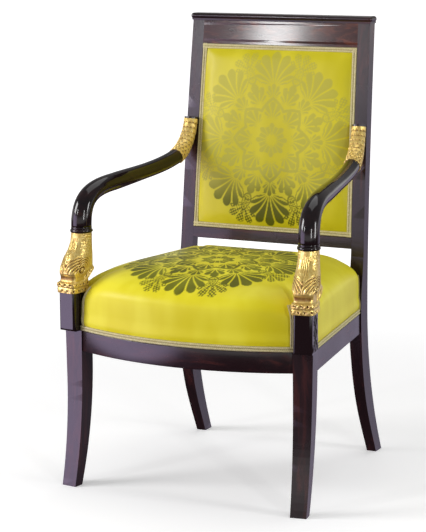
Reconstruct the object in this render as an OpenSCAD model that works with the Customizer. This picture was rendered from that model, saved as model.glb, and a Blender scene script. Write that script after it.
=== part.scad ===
// Open-arm chair with sabre legs, carved dolphin arm supports and an upholstered seat and back.
// +Z is up, -Y is the front, and the origin lies on the floor under the middle of the chair.
// Most pieces are drawn for the +X side and mirrored for the -X side.

/* [Overall] */
// Height to the top of the moulding on the back
chair_h = 965; // [930:1:1000]
// Depth from the bow of the seat to the heels of the rear legs
chair_d = 575; // [555:1:600]
// Distance between the axes of the two arm necks
neck_span = 517; // [500:1:535]
// Width over the rear legs
rear_w = 447; // [435:1:460]
// Width over the tops of the back posts
post_top_w = 423; // [412:1:432]

/* [Front legs] */
// Height of the shoulder where the block starts above the leg
shoulder_h = 331; // [315:1:345]
// Width of the leg at its shoulder
leg_w = 42; // [38:0.5:46]
// Width of the leg at the floor
leg_foot_w = 34; // [30:0.5:38]
// Distance of the leg's front face before the neck's axis
leg_front = 35.5; // [33:0.5:38]
// Distance of the leg's rear face behind the neck's axis
leg_back = 1.5; // [0:0.5:4]
// Depth of the leg at the floor
leg_foot_d = 24; // [20:0.5:30]
// Forward sweep of the toe
toe_sweep = 28; // [15:1:40]
// Height of the block that carries the dolphin head
block_h = 81; // [70:1:90]
// Width of the block
block_w = 39.5; // [37:0.5:42]
// Depth of the block
block_d = 48.5; // [45:0.5:52]
// Radius of the block's upright arrises
block_round = 5; // [3:0.5:8]

/* [Rear posts] */
// Backward sweep of the heel
heel_sweep = 89; // [70:1:100]
// Backward rake of the post from the seat to its top
post_rake = 60; // [45:1:70]
// Depth of the post at the floor
heel_d = 31.8; // [28:0.2:34]
// Depth of the post halfway up the leg
shank_d = 39; // [35:0.5:41]
// Depth of the post at the seat
post_seat_d = 36; // [34:0.5:38]
// Depth of the stile above the seat
stile_d = 25; // [23:0.5:28]
// Depth of the stile at its top
stile_top_d = 27; // [25:0.5:29]
// Width of the post at the floor
heel_w = 22; // [20:0.5:26]
// Width of the post at the seat
post_seat_w = 30; // [28:0.5:33]
// Width of the stile at its top
stile_top_w = 27.5; // [26:0.5:30]

/* [Seat frame] */
// Height of the rails' faces, below the shoulder of the front legs
rail_h = 43; // [36:1:50]
// Height of the rebate where the cloth is tacked, which the gimp covers
rebate_h = 11; // [9:0.5:13]
// Depth of that rebate
rebate_d = 4.5; // [3.5:0.5:5.5]
// Thickness of the seat rails
rail_t = 26; // [23:0.5:28]
// Rise of the front rail's bow
bow_sag = 50; // [35:1:60]
// Distance of the necks' axes behind the ends of the bow
neck_back = 38; // [36.5:0.5:40]
// Recess of the side rails inside the outer faces of the legs
side_recess = 2.5; // [1.5:0.5:4]
// Recess of the rear rail before the posts' rear faces
rear_recess = 3; // [2:0.5:5]
// Length of a tenon
tenon_l = 17; // [12:0.5:18]
// Length of the side rails' tenons in the rear posts
short_tenon_l = 11; // [9:0.5:12]
// Thickness of a tenon
tenon_t = 9; // [7:0.5:10]
// Length of a corner block's face along a rail
corner_l = 58; // [48:1:64]
// Height of the corner blocks
corner_h = 34; // [26:1:38]

/* [Arms] */
// Height of the dolphin head
head_h = 115; // [105:1:125]
// Height of the turned collar under the arm
collar_h = 18; // [15:0.5:21]
// Diameter of the collar
collar_dia = 47.5; // [46:0.5:52]
// Rise of the arm's axis from the collar to the end of its front bend
crook_rise = 80.5; // [70:1:90]
// Length of the front bend, measured back from the neck
crook_run = 110; // [95:1:125]
// Rise of the arm's axis from the front bend to the scaled tail
arm_slope_rise = 30.5; // [20:0.5:40]
// Length of the scaled tail, measured forward from its tip
tail_run = 55; // [48:1:62]
// Rise of the tail
tail_rise = 77; // [68:1:86]
// Diameter of the arm above the collar
arm_neck_dia = 43; // [40:0.5:45]
// Diameter of the arm behind the front bend
arm_crook_dia = 37.5; // [35:0.5:40]
// Diameter of the arm at the middle of its length
arm_mid_dia = 33.5; // [31:0.5:36]
// Diameter of the arm where the tail starts
tail_dia = 34; // [31:0.5:36]
// Diameter of the tail's tip
tip_dia = 28; // [26:0.5:30]
// Depth of the flat where the tail lies against the post
tail_flat = 4; // [3:0.5:6]
// Thickness of the plate that closes the tail
plate_t = 3.5; // [2.5:0.25:5]
// Rows of scales along the tail
scale_rows = 9; // [6:1:12]
// Diameter of the dowels in the arm supports
dowel_dia = 14; // [10:0.5:16]
// Depth that those dowels enter each piece
dowel_depth = 26; // [20:1:28]

/* [Back] */
// Height of the tablet between the posts
tablet_h = 51; // [42:1:60]
// Thickness of the tablet and of the lower back rail
tablet_t = 21; // [18:0.5:22]
// Rise of the seat's crown past the lower back rail's underside
back_sink = 4; // [0:0.5:8]
// Height of the lower back rail
back_rail_h = 24.5; // [20:0.5:30]
// Height of the moulding on top of the back
cap_h = 15.5; // [13:0.5:18]
// Overhang of that moulding at the front
cap_over = 6; // [4:0.5:8]
// Height of the small fillet under the moulding's roll
cap_fillet_h = 3; // [2:0.25:4]
// Width of the slip frame's bars
slip_w = 30; // [25:1:36]
// Thickness of the slip frame
slip_t = 12; // [10:0.5:12.5]
// Depth of the slip frame's face behind the posts' front faces
slip_set = 8; // [7:0.5:8.5]

/* [Upholstery] */
// Rise of the seat's side walls above the shoulder of the front legs
wall_rise = 72; // [60:1:80]
// Rise of the seat's crown above those walls
crown_rise = 69; // [55:1:75]
// Fall of the side walls beside the arm blocks
corner_drop = 23; // [14:1:30]
// Thickness of the cover cloth
cloth_t = 1.2; // [0.8:0.1:1.6]
// Projection of the back pad before the posts
back_crown = 13; // [8:0.5:18]
// Width of the gimp on the back
gimp_w = 11; // [9:0.5:13]
// Thickness of the gimp
gimp_t = 3.6; // [3:0.1:4.5]
// Width of a webbing strap
web_w = 58; // [50:1:62]
// Gap between two webbing straps
web_gap = 14; // [10:1:18]
// Thickness of a webbing strap
web_t = 1.5; // [1:0.1:2]

/* [Hidden] */

$fn = 48;
// Clearance all round a tenon, a dowel or a screw
fit = 0.1;
// Clearance between the upholstery and the wood beside it
ease_gap = 0.3;
// Overrun of cuts past the surfaces that they open
over = 1;
// Power of the sweep curves of the legs and of the rake of the posts
sabre_power = 2.1;
heel_power = 1.95;
rake_power = 1.35;
// Shares of the shoulder's height where the sweeps of the front and rear faces begin
toe_start_share = 0.72;
toe_back_start_share = 0.79;
// Steps along a curved edge and round a loft
edge_steps = 22;
arm_sides = 20;

// Heights
rail_low = shoulder_h - rail_h;
rail_top = shoulder_h + rebate_h;
wall_h = shoulder_h + wall_rise;
crown_h = wall_h + crown_rise;
back_low = crown_h - back_sink;
post_top = chair_h - cap_h;
tablet_low = post_top - tablet_h;
slip_low = back_low + back_rail_h;
block_top = shoulder_h + block_h;
neck_z = block_top + head_h;
arm_z = neck_z + collar_h;
crook_z = arm_z + crook_rise;
tail_z = crook_z + arm_slope_rise;
tip_z = tail_z + tail_rise;

// Gimp stands this far before the rails
gimp_proud = gimp_t + cloth_t + ease_gap - rebate_d;
bow_front = -chair_d / 2 + gimp_proud;
neck_x = neck_span / 2;
neck_y = bow_front + bow_sag + neck_back;

function mix(a, b, t) = a + (b - a) * t;
function ease(t) = t * t * (3 - 2 * t);
function unit(t) = max(0, min(1, t));
function turned(p, a) = [p.x * cos(a) - p.y * sin(a), p.x * sin(a) + p.y * cos(a)];
function frac(t) = t - floor(t);

// Rear post, seen from the side: y of its faces at height z
seat_back = chair_d / 2 - heel_sweep;
function post_back_y(z) = seat_back
    + heel_sweep * pow(unit((rail_top - z) / rail_top), heel_power)
    + post_rake * pow(unit((z - rail_top) / (post_top - rail_top)), rake_power);
// The post thins over this height above the seat
thin_h = back_low - rail_top;
shank_z = rail_low / 2;
function post_depth(z) =
    z < shank_z ? mix(heel_d, shank_d, ease(unit(z / shank_z))) :
    z < rail_low ? mix(shank_d, post_seat_d, ease((z - shank_z) / (rail_low - shank_z))) :
    z < rail_top ? post_seat_d :
    z < rail_top + thin_h ? mix(post_seat_d, stile_d, ease((z - rail_top) / thin_h)) :
    mix(stile_d, stile_top_d, unit((z - back_low) / (post_top - back_low)));
function post_front_y(z) = post_back_y(z) - post_depth(z);
function rake_angle(z) = atan2(post_front_y(z + over) - post_front_y(z - over), 2 * over);

// Rear post, seen from the front: x of its faces at height z
function post_out_x(z) =
    mix(rear_w, post_top_w, unit((z - rail_top) / (post_top - rail_top))) / 2;
function post_in_x(z) = post_out_x(z) - (z < rail_top ?
    mix(heel_w, post_seat_w, unit(z / rail_top)) :
    mix(post_seat_w, stile_top_w, (z - rail_top) / (post_top - rail_top)));

// Each side frame stands in a turned plane through the neck and the tip of the tail.
// In it, u runs outwards and v runs backwards from the neck's axis.
tip_x = (post_out_x(tip_z) + post_in_x(tip_z)) / 2;
tip_y = post_front_y(tip_z) - tip_dia / 2 + tail_flat;
side_turn = atan2(neck_x - tip_x, tip_y - neck_y);
arm_run = norm([neck_x - tip_x, tip_y - neck_y]);
function side_point(u, v) = [neck_x, neck_y] + turned([u, v], side_turn);
module on_side() {
    translate([neck_x, neck_y, 0]) rotate([0, 0, side_turn]) children();
}
module left() {
    mirror([1, 0, 0]) children();
}

// Front leg in its own plane
leg_inset = 2.1;
foot_inset = 3.6;
leg_out_u = leg_w / 2 - leg_inset;
leg_in_u = -leg_w / 2 - leg_inset;
block_shift = 1.7;
block_in_u = block_shift - block_w / 2;
block_ahead = 29;
block_mid_v = -block_ahead;
block_back_v = block_mid_v + block_d / 2;
toe_z = shoulder_h * toe_start_share;
toe_back_z = shoulder_h * toe_back_start_share;
calf_sweep = toe_sweep + leg_front + leg_back - leg_foot_d;
function leg_front_v(z) = -leg_front
    - toe_sweep * pow(unit((toe_z - z) / toe_z), sabre_power);
function leg_back_v(z) = leg_back
    - calf_sweep * pow(unit((toe_back_z - z) / toe_back_z), sabre_power);

// Bow of the front rail
bow_half = neck_x - leg_w / 2;
bow_r = (bow_half * bow_half + bow_sag * bow_sag) / (2 * bow_sag);
bow_mid_y = bow_front + bow_r;
function bow_y(x, r) = bow_mid_y - sqrt(r * r - x * x);

// Side rail in plan, from the leg's rear face to the post's front face
side_a = side_point(leg_out_u - side_recess, leg_back);
side_b = [post_out_x(rail_low) - side_recess, post_front_y(rail_top)];
side_l = norm(side_b - side_a);
side_dir = (side_b - side_a) / side_l;
side_in = [-side_dir.y, side_dir.x];
rail_turn = atan2(-side_dir.x, side_dir.y);
function side_line(inset, along) = side_a + side_in * inset + side_dir * along;
rear_y = seat_back - rear_recess;
tenon_h = shoulder_h - rail_low - tenon_t;
tenon_z = rail_low + tenon_t / 2;

// Solid through rings of points that turn anticlockwise about the way they follow each other
function middle(ring) =
    [for (k = [0 : 2]) [for (p = ring) p[k]] * [for (p = ring) 1] / len(ring)];
module loft(rings) {
    n = len(rings[0]);
    m = len(rings);
    points = concat([for (r = rings) each r], [middle(rings[0]), middle(rings[m - 1])]);
    walls = [for (j = [0 : m - 2], i = [0 : n - 1])
        let (a = j * n + i, b = j * n + (i + 1) % n)
        each [[a, a + n, b + n], [a, b + n, b]]];
    low_cap = [for (i = [0 : n - 1]) [m * n, i, (i + 1) % n]];
    high_cap = [for (i = [0 : n - 1])
        [m * n + 1, (m - 1) * n + (i + 1) % n, (m - 1) * n + i]];
    polyhedron(points, concat(walls, low_cap, high_cap));
}

// Shapes drawn on upright planes: X and Z, or Y and Z
module upright_x(depth) {
    rotate([90, 0, 0]) translate([0, 0, -depth / 2]) linear_extrude(depth) children();
}
module upright_y(width) {
    rotate([90, 0, 90]) translate([0, 0, -width / 2]) linear_extrude(width) children();
}
module round_square(size, r) {
    core = size - [2 * r, 2 * r];
    square([size.x, core.y], center = true);
    square([core.x, size.y], center = true);
    for (x = [-1, 1], y = [-1, 1])
        translate([x * core.x / 2, y * core.y / 2]) circle(r);
}

// Front leg
function heights(low, high, steps) = [for (i = [0 : steps]) mix(low, high, i / steps)];
module leg_side_outline() {
    zs = heights(0, shoulder_h, edge_steps);
    polygon(concat([for (z = zs) [leg_front_v(z), z]],
        [for (i = [edge_steps : -1 : 0]) [leg_back_v(zs[i]), zs[i]]]));
}
module leg_front_outline() {
    polygon([
        [-foot_inset - leg_foot_w / 2, 0], [-foot_inset + leg_foot_w / 2, 0],
        [leg_out_u, shoulder_h], [leg_in_u, shoulder_h]
    ]);
}
block_foot_r = block_round * 1.2;
module block_side_outline() {
    low = shoulder_h + block_foot_r;
    half = block_d / 2;
    translate([block_mid_v, 0]) {
        translate([-half, low]) square([block_d, block_h - block_foot_r]);
        translate([-half + block_foot_r, shoulder_h])
            square([block_d - block_foot_r, block_foot_r]);
        translate([-half + block_foot_r, low]) circle(block_foot_r);
    }
}
dowel_ahead = 18;
dowel_v = -dowel_ahead;
module front_leg() {
    color("#46211f") difference() {
        on_side() {
            intersection() {
                upright_y(2 * leg_w) leg_side_outline();
                upright_x(2 * chair_d) leg_front_outline();
            }
            intersection() {
                translate([block_shift, block_mid_v, shoulder_h]) linear_extrude(block_h)
                    round_square([block_w, block_d], block_round);
                upright_y(2 * leg_w) block_side_outline();
            }
            // Core across the shoulder, inside both
            translate([block_in_u + over, over - leg_front, shoulder_h - over])
                cube([leg_out_u - block_in_u - 2 * over, leg_front + block_back_v - 2 * over,
                    2 * over]);
        }
        front_tenon(fit);
        side_front_tenon(fit);
        on_side() translate([0, dowel_v, block_top - dowel_depth - fit])
            cylinder(d = dowel_dia + 2 * fit, h = dowel_depth + fit + over);
        front_screw(fit);
    }
}

// Rear post
module post_side_outline() {
    leg_zs = heights(0, rail_top, edge_steps);
    stile_zs = heights(rail_top, post_top, edge_steps);
    zs = concat(leg_zs, [for (i = [1 : edge_steps]) stile_zs[i]]);
    last = len(zs) - 1;
    polygon(concat([for (z = zs) [post_front_y(z), z]],
        [for (i = [last : -1 : 0]) [post_back_y(zs[i]), zs[i]]]));
}
module post_front_outline() {
    polygon([
        [post_in_x(0), 0], [post_out_x(0), 0], [post_out_x(rail_top), rail_top],
        [post_out_x(post_top), post_top], [post_in_x(post_top), post_top],
        [post_in_x(rail_top), rail_top]
    ]);
}
module post_slab() {
    upright_y(3 * rear_w) post_side_outline();
}
module post_body() {
    intersection() {
        post_slab();
        upright_x(3 * chair_d) post_front_outline();
    }
}
module rear_post() {
    color("#46211f") difference() {
        post_body();
        side_rear_tenon(fit);
        rear_tenon(fit);
        tablet_tenon(fit);
        lower_tenon(fit);
        rear_screw(fit);
        arm_screw(fit);
        plug_bore(fit);
        slip_screw(fit);
    }
}

// Tenons, grown by a clearance where they are cut as mortises
module front_tenon(gap) {
    on_side() translate([leg_in_u - tenon_l - gap, -leg_front + rail_t / 2 - tenon_t / 2 - gap,
        tenon_z - gap])
        cube([2 * tenon_l + 2 * gap, tenon_t + 2 * gap, tenon_h + 2 * gap]);
}
side_tenon_inset = (rail_t - tenon_t) / 2;
module along_side(inset, along) {
    p = side_line(inset, along);
    translate([p.x, p.y, 0]) rotate([0, 0, rail_turn]) children();
}
module side_front_tenon(gap) {
    along_side(side_tenon_inset, 0)
        translate([-tenon_t - gap, -tenon_l - gap, tenon_z - gap])
        cube([tenon_t + 2 * gap, 2 * tenon_l, tenon_h + 2 * gap]);
}
module side_rear_tenon(gap) {
    along_side(side_tenon_inset, side_l)
        translate([-tenon_t - gap, -short_tenon_l, tenon_z - gap])
        cube([tenon_t + 2 * gap, 2 * short_tenon_l + gap, tenon_h + 2 * gap]);
}
module rear_tenon(gap) {
    translate([post_in_x(rail_low) - tenon_l, rear_y - rail_t / 2 - tenon_t / 2 + rear_recess - gap,
        tenon_z - gap])
        cube([2 * tenon_l + gap, tenon_t + 2 * gap, tenon_h + 2 * gap]);
}
// Tenon of a back rail of height h, centred at height z
module back_tenon(z, h, gap) {
    long = tenon_l * 0.8;
    translate([post_in_x(z), post_front_y(z) + tablet_t / 2, z]) rotate([-rake_angle(z), 0, 0])
        translate([-long, -tenon_t / 2 - gap, -h / 2 - gap])
        cube([2 * long + gap, tenon_t + 2 * gap, h + 2 * gap]);
}
tablet_tenon_h = tablet_h * 0.6;
lower_tenon_h = back_rail_h * 0.6;
module tablet_tenon(gap) {
    back_tenon(tablet_low + tablet_h / 2, tablet_tenon_h, gap);
}
module lower_tenon(gap) {
    back_tenon(back_low + back_rail_h / 2, lower_tenon_h, gap);
}

// Bowed front rail, sawn to the bow on both faces
module bow_ring(outer, inner, h) {
    translate([0, bow_mid_y, 0]) difference() {
        cylinder(r = outer, h = h, $fn = 180);
        translate([0, 0, -over]) cylinder(r = inner, h = h + 2 * over, $fn = 180);
    }
}
// Everything between the two planes u = limit of the side frames, as far back as the necks
module between_sides(limit, h) {
    a = side_point(limit, -chair_d);
    b = side_point(limit, neck_back);
    linear_extrude(h) polygon([[-a.x, a.y], [a.x, a.y], [b.x, b.y], [-b.x, b.y]]);
}
module front_rail() {
    color("#3f1d1c") {
        intersection() {
            translate([0, 0, rail_low]) {
                bow_ring(bow_r, bow_r - rail_t, shoulder_h - rail_low);
                bow_ring(bow_r - rebate_d, bow_r - rail_t, rail_top - rail_low);
            }
            between_sides(leg_in_u, 2 * rail_top);
        }
        front_tenon(0);
        left() front_tenon(0);
    }
}

// Side rail with its tacking rebate, cut to the leg's rear face and the post's front face
module side_rail() {
    color("#3f1d1c") {
        difference() {
            along_side(0, 0) translate([-rail_t, -leg_w, rail_low]) difference() {
                cube([rail_t, side_l + leg_w + short_tenon_l, rail_top - rail_low]);
                translate([rail_t - rebate_d, -over, shoulder_h - rail_low])
                    cube([rebate_d + over, side_l + 2 * leg_w, rebate_h + over]);
            }
            on_side() translate([-2 * leg_w, leg_back - 4 * leg_w, 0])
                cube([4 * leg_w, 4 * leg_w, chair_h]);
            post_slab();
        }
        side_front_tenon(0);
        side_rear_tenon(0);
    }
}

// Rear rail with its tacking rebate
module rear_rail() {
    low_w = 2 * post_in_x(rail_low);
    color("#3f1d1c") {
        intersection() {
            translate([-rear_w / 2, rear_y - rail_t, rail_low]) difference() {
                cube([rear_w, rail_t, rail_top - rail_low]);
                translate([-over, rail_t - rebate_d, shoulder_h - rail_low])
                    cube([rear_w + 2 * over, rebate_d + over, rebate_h + over]);
            }
            between_posts();
        }
        rear_tenon(0);
        left() rear_tenon(0);
    }
}
// The space between the posts, less a gap beside each
module between_posts_outline(gap = 0) {
    x0 = post_in_x(0) - gap;
    x1 = post_in_x(rail_top) - gap;
    x2 = post_in_x(post_top) - gap;
    polygon([[-x0, 0], [x0, 0], [x1, rail_top], [x2, post_top], [-x2, post_top],
        [-x1, rail_top]]);
}
module between_posts(gap = 0) {
    upright_x(3 * chair_d) between_posts_outline(gap);
}

// Corner blocks, glued into the corners and screwed to the leg or post
corner_z = rail_low + (shoulder_h - rail_low - corner_h) / 2;
front_b = side_line(rail_t, corner_l);
front_far = side_line(rail_t, -corner_l);
front_a = [front_b.x - corner_l, bow_y(front_b.x - corner_l, bow_r - rail_t)];
rear_in_y = rear_y - rail_t;
rear_b = side_line(rail_t, side_l - corner_l);
rear_c = side_line(rail_t, side_l + (rear_in_y - side_b.y) / side_dir.y);
rear_a = [rear_c.x - corner_l, rear_in_y];
module corner_block_front() {
    color("#b08a5c") difference() {
        translate([0, 0, corner_z]) linear_extrude(corner_h) intersection() {
            translate([0, bow_mid_y]) circle(r = bow_r - rail_t, $fn = 180);
            polygon([front_a, [front_a.x, front_far.y - corner_l], front_far, front_b]);
        }
        on_side() translate([leg_in_u - fit, -2 * leg_w, 0])
            cube([2 * leg_w, 2 * leg_w + leg_back + fit, chair_h]);
        front_screw(fit);
    }
}
module corner_block_rear() {
    color("#b08a5c") difference() {
        translate([0, 0, corner_z]) linear_extrude(corner_h)
            polygon([rear_a, rear_b, rear_c]);
        post_body();
        rear_screw(fit);
    }
}

// Screws, with the head outside the face that they pull on
screw_dia = 4.2;
screw_head_dia = 8;
screw_head_t = 3;
module screw(length, gap) {
    cylinder(d = screw_dia + 2 * gap, h = length + gap);
    translate([0, 0, -screw_head_t]) cylinder(d = screw_head_dia + 2 * gap, h = screw_head_t);
}
// A screw from the middle of the face a-b of a corner block towards the point aim, which lies
// between the ends of the two rails, and on by its bite into the leg or the post
screw_bite = 18;
module corner_screw(a, b, aim, gap) {
    way = aim - (a + b) / 2;
    start = aim - way * (1 - screw_head_t / norm(way));
    translate([start.x, start.y, corner_z + corner_h / 2])
        rotate([90, 0, atan2(way.x, -way.y)]) screw(norm(aim - start) + screw_bite, gap);
}
leg_corner = side_point(leg_in_u, leg_back);
front_aim = [leg_corner.x, (leg_corner.y + bow_y(leg_corner.x, bow_r - rail_t)) / 2];
rear_aim = [post_in_x(rail_low), (post_front_y(rail_top) + rear_y - rail_t) / 2];
module front_screw(gap) {
    corner_screw(front_a, front_b, front_aim, gap);
}
module rear_screw(gap) {
    corner_screw(rear_b, rear_a, rear_aim, gap);
}
module corner_screws() {
    color("#8d8a80") {
        front_screw(0);
        rear_screw(0);
        left() front_screw(0);
        left() rear_screw(0);
    }
}

// Dowels between the block, the dolphin head and the arm
module block_dowel(gap) {
    on_side() translate([0, dowel_v, block_top - dowel_depth - gap])
        cylinder(d = dowel_dia + 2 * gap, h = 2 * (dowel_depth + gap));
}
module neck_dowel(gap) {
    on_side() translate([0, 0, neck_z - dowel_depth - gap])
        cylinder(d = dowel_dia + 2 * gap, h = 2 * (dowel_depth + gap));
}
tail_dowel_dia = dowel_dia * 0.7;
tail_dowel_l = dowel_depth * 1.3;
module tail_dowel(gap) {
    on_side() translate([0, arm_run - tail_run, tail_z]) rotate([-tail_lean, 0, 0])
        translate([0, 0, -tail_dowel_l / 2 - gap])
        cylinder(d = tail_dowel_dia + 2 * gap, h = tail_dowel_l + 2 * gap);
}
module neck_dowels() {
    color("#c8a878") {
        neck_dowel(0);
        left() neck_dowel(0);
    }
}
module block_dowels() {
    color("#c8a878") {
        block_dowel(0);
        left() block_dowel(0);
    }
}
module tail_dowels() {
    color("#c8a878") {
        tail_dowel(0);
        left() tail_dowel(0);
    }
}

// Screw from the back of the post into the tail, under a wooden plug
arm_screw_z = tip_z - tail_rise * 0.35;
arm_screw_l = stile_d;
plug_l = screw_head_t;
module arm_screw(gap) {
    translate([tip_x, post_back_y(arm_screw_z) - plug_l - screw_head_t, arm_screw_z])
        rotate([90, 0, 0]) screw(arm_screw_l, gap);
}
module plug_bore(gap) {
    translate([tip_x, post_back_y(arm_screw_z) - plug_l, arm_screw_z])
        rotate([-90, 0, 0]) cylinder(d = screw_head_dia + 2 * gap, h = 2 * plug_l);
}
module arm_screws() {
    color("#8d8a80") {
        arm_screw(0);
        left() arm_screw(0);
    }
}
module screw_plug() {
    intersection() {
        plug_bore(0);
        post_slab();
    }
}
module screw_plugs() {
    color("#46211f") {
        screw_plug();
        left() screw_plug();
    }
}

// Dolphin head: level sections from the lips on the block up to the round neck.
// Each row gives the height as a share of the head, then the reach before the neck's axis as a
// share of the block's depth, the reach behind it as a share of the neck's diameter, the half
// width as a share of the block's width, and how square the section is.
head_shares = [
    [0.00, 1.19, -0.02, 0.60, 6.0],
    [0.17, 1.21, -0.02, 0.60, 6.0],
    [0.20, 1.08, 0.02, 0.53, 5.0],
    [0.26, 1.09, 0.14, 0.54, 4.5],
    [0.32, 1.14, 0.30, 0.58, 3.6],
    [0.38, 1.17, 0.42, 0.62, 3.0],
    [0.46, 1.11, 0.48, 0.63, 2.7],
    [0.60, 0.91, 0.50, 0.61, 2.5],
    [0.72, 0.67, 0.50, 0.57, 2.3],
    [0.85, 0.50, 0.50, 0.55, 2.1],
    [1.00, 0.45, 0.50, 0.545, 2.0]
];
function head_row(k, t) = lookup(t, [for (r = head_shares) [r[0], r[k]]]);
head_sides = 36;
lip_share = 0.19;
lip_rings = 8;
skull_rings = 20;
head_ts = concat([for (k = [0 : lip_rings]) lip_share * k / lip_rings],
    [for (k = [1 : skull_rings]) mix(lip_share, 1, k / skull_rings)]);
// Heights of the carving above the plain form
lip_roll = 1.6;
frill = 0.7;
brow = 2.4;
fin = 6;
function hump(x, w) = exp(-(x / w) * (x / w));
// Carving at height share t, at angle a from the front, the same on both sides
function lips(t, a) = t > lip_share ? 0 :
    lip_roll * abs(sin(360 * t / lip_share)) * (1 + 0.3 * cos(13 * a)) + frill * cos(13 * a) - lip_roll;
function brows(t, a) = brow * hump(a - 36, 22) * hump(t - 0.5, 0.15)
    * (1 + 0.35 * cos(360 * (9 * t + a / 40)));
function fins(t, a) = fin * hump(a - mix(96, 138, (t - 0.08) / 0.34), 10)
    * unit((0.46 - t) / 0.06) * unit((t - lip_share) / 0.08);
function carving(t, a) = lips(t, a) + brows(t, a) + fins(t, a);
function power_of(x, n) = sign(x) * pow(abs(x), 2 / n);
function head_point(t, q) =
    let (front = head_row(1, t) * block_d, back = head_row(2, t) * arm_neck_dia,
        half_w = head_row(3, t) * block_w, n = head_row(4, t),
        x = half_w * power_of(cos(q), n), y = (front + back) / 2 * power_of(sin(q), n),
        a = abs(((q + 90 + 180) % 360) - 180),
        grow = 1 + carving(t, a) / norm([x, y]))
    [block_shift * (1 - t) + x * grow, (back - front) / 2 + y * grow, block_top + head_h * t];
eye_share = 0.4;
eye_angle = -20;
eye_r = 4.6;
module dolphin_head() {
    color("#c79a3a") difference() {
        on_side() {
            loft([for (t = head_ts) [for (i = [0 : head_sides - 1])
                head_point(t, 360 * i / head_sides)]]);
            translate(head_point(eye_share, eye_angle)) sphere(eye_r, $fn = 24);
            translate(head_point(eye_share, 180 - eye_angle)) sphere(eye_r, $fn = 24);
        }
        block_dowel(fit);
        neck_dowel(fit);
    }
}

// Arm: three curves one after another in the plane of the side frame, each through two inner
// points given as shares of its run and its rise
crook_shares = [[0, 0.71], [0.27, 0.945]];
reach_shares = [[0.34, 0.25], [0.766, 0.38]];
tail_shares = [[0.446, 0.12], [0.875, 0.49]];
function curve(p, s, q) = [p, [mix(p.x, q.x, s[0].x), mix(p.y, q.y, s[0].y)],
    [mix(p.x, q.x, s[1].x), mix(p.y, q.y, s[1].y)], q];
function at_curve(c, t) = pow(1 - t, 3) * c[0] + 3 * pow(1 - t, 2) * t * c[1]
    + 3 * (1 - t) * t * t * c[2] + pow(t, 3) * c[3];
function along_curve(c, t) = let (d = pow(1 - t, 2) * (c[1] - c[0])
    + 2 * (1 - t) * t * (c[2] - c[1]) + t * t * (c[3] - c[2])) d / norm(d);
tail_v = arm_run - tail_run;
crook_curve = curve([0, arm_z], crook_shares, [crook_run, crook_z]);
reach_curve = curve([crook_run, crook_z], reach_shares, [tail_v, tail_z]);
tail_curve = curve([tail_v, tail_z], tail_shares, [arm_run, tip_z]);
// Angle of the arm's axis away from the upright, where the tail starts and at its tip
tail_lean = let (d = along_curve(tail_curve, 0)) atan2(d.x, d.y);
tip_lean = let (d = along_curve(tail_curve, 1)) atan2(d.x, d.y);

// Ring of points round a curve, in [u, v, z]
function ring(c, t, radii) = let (p = at_curve(c, t), d = along_curve(c, t), n = len(radii))
    [for (i = [0 : n - 1]) let (q = 360 * i / n, r = radii[i])
        [r * cos(q), p.x + r * sin(q) * d.y, p.y - r * sin(q) * d.x]];
function plain(r) = [for (i = [1 : arm_sides]) r];
crook_steps = 11;
reach_steps = 10;
// Turned collar: a bead between two quirks, on a drum a little wider than the arm
collar_step = 0.5;
bead_share = 0.42;
bead_half_h = collar_h * 0.3;
module collar() {
    drum_r = arm_neck_dia / 2 + collar_step;
    proud = collar_dia / 2 - drum_r;
    bead_r = (proud * proud + bead_half_h * bead_half_h) / (2 * proud);
    rotate_extrude($fn = 72) {
        square([drum_r, collar_h]);
        // Core up into the arm
        square([arm_neck_dia / 2 - over, collar_h + over]);
        intersection() {
            translate([collar_dia / 2 - bead_r, collar_h * bead_share]) circle(bead_r, $fn = 96);
            square([collar_dia, collar_h]);
        }
    }
}
module arm() {
    crook_rings = [for (i = [0 : crook_steps]) let (t = i / crook_steps)
        ring(crook_curve, t, plain(mix(arm_neck_dia, arm_crook_dia, ease(t)) / 2))];
    reach_rings = [for (i = [1 : reach_steps]) let (t = i / reach_steps)
        ring(reach_curve, t, plain((t < 0.5 ? mix(arm_crook_dia, arm_mid_dia, ease(2 * t))
            : mix(arm_mid_dia, tail_dia, 2 * t - 1)) / 2))];
    color("#1c1315") difference() {
        on_side() {
            loft(concat(crook_rings, reach_rings));
            translate([0, 0, neck_z]) collar();
        }
        neck_dowel(fit);
        tail_dowel(fit);
    }
}

// Gilded tail with rows of overlapping scales, flattened where it lies against the post
tail_sides = 24;
rings_per_row = 3;
scale_count = 8;
scale_proud = 1.2;
module arm_tail() {
    steps = scale_rows * rings_per_row;
    color("#c79a3a") difference() {
        on_side() loft([for (j = [0 : steps]) let (t = j / steps)
            ring(tail_curve, t, [for (i = [0 : tail_sides - 1])
                mix(tail_dia, tip_dia, ease(t)) / 2 + scale_relief(t, 360 * i / tail_sides)])]);
        post_slab();
        arm_screw(fit);
        tail_dowel(fit);
    }
}
function scale_relief(t, a) = t == 0 || t == 1 ? 0 : scale_proud
    * frac(scale_rows * t + 0.3 * abs(sin(scale_count * a / 2)));
module tail_plate() {
    color("#2a1715") difference() {
        on_side() translate([0, arm_run, tip_z]) rotate([-tip_lean, 0, 0])
            cylinder(d = tip_dia + plate_t / 2, h = plate_t);
        post_slab();
    }
}

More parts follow.
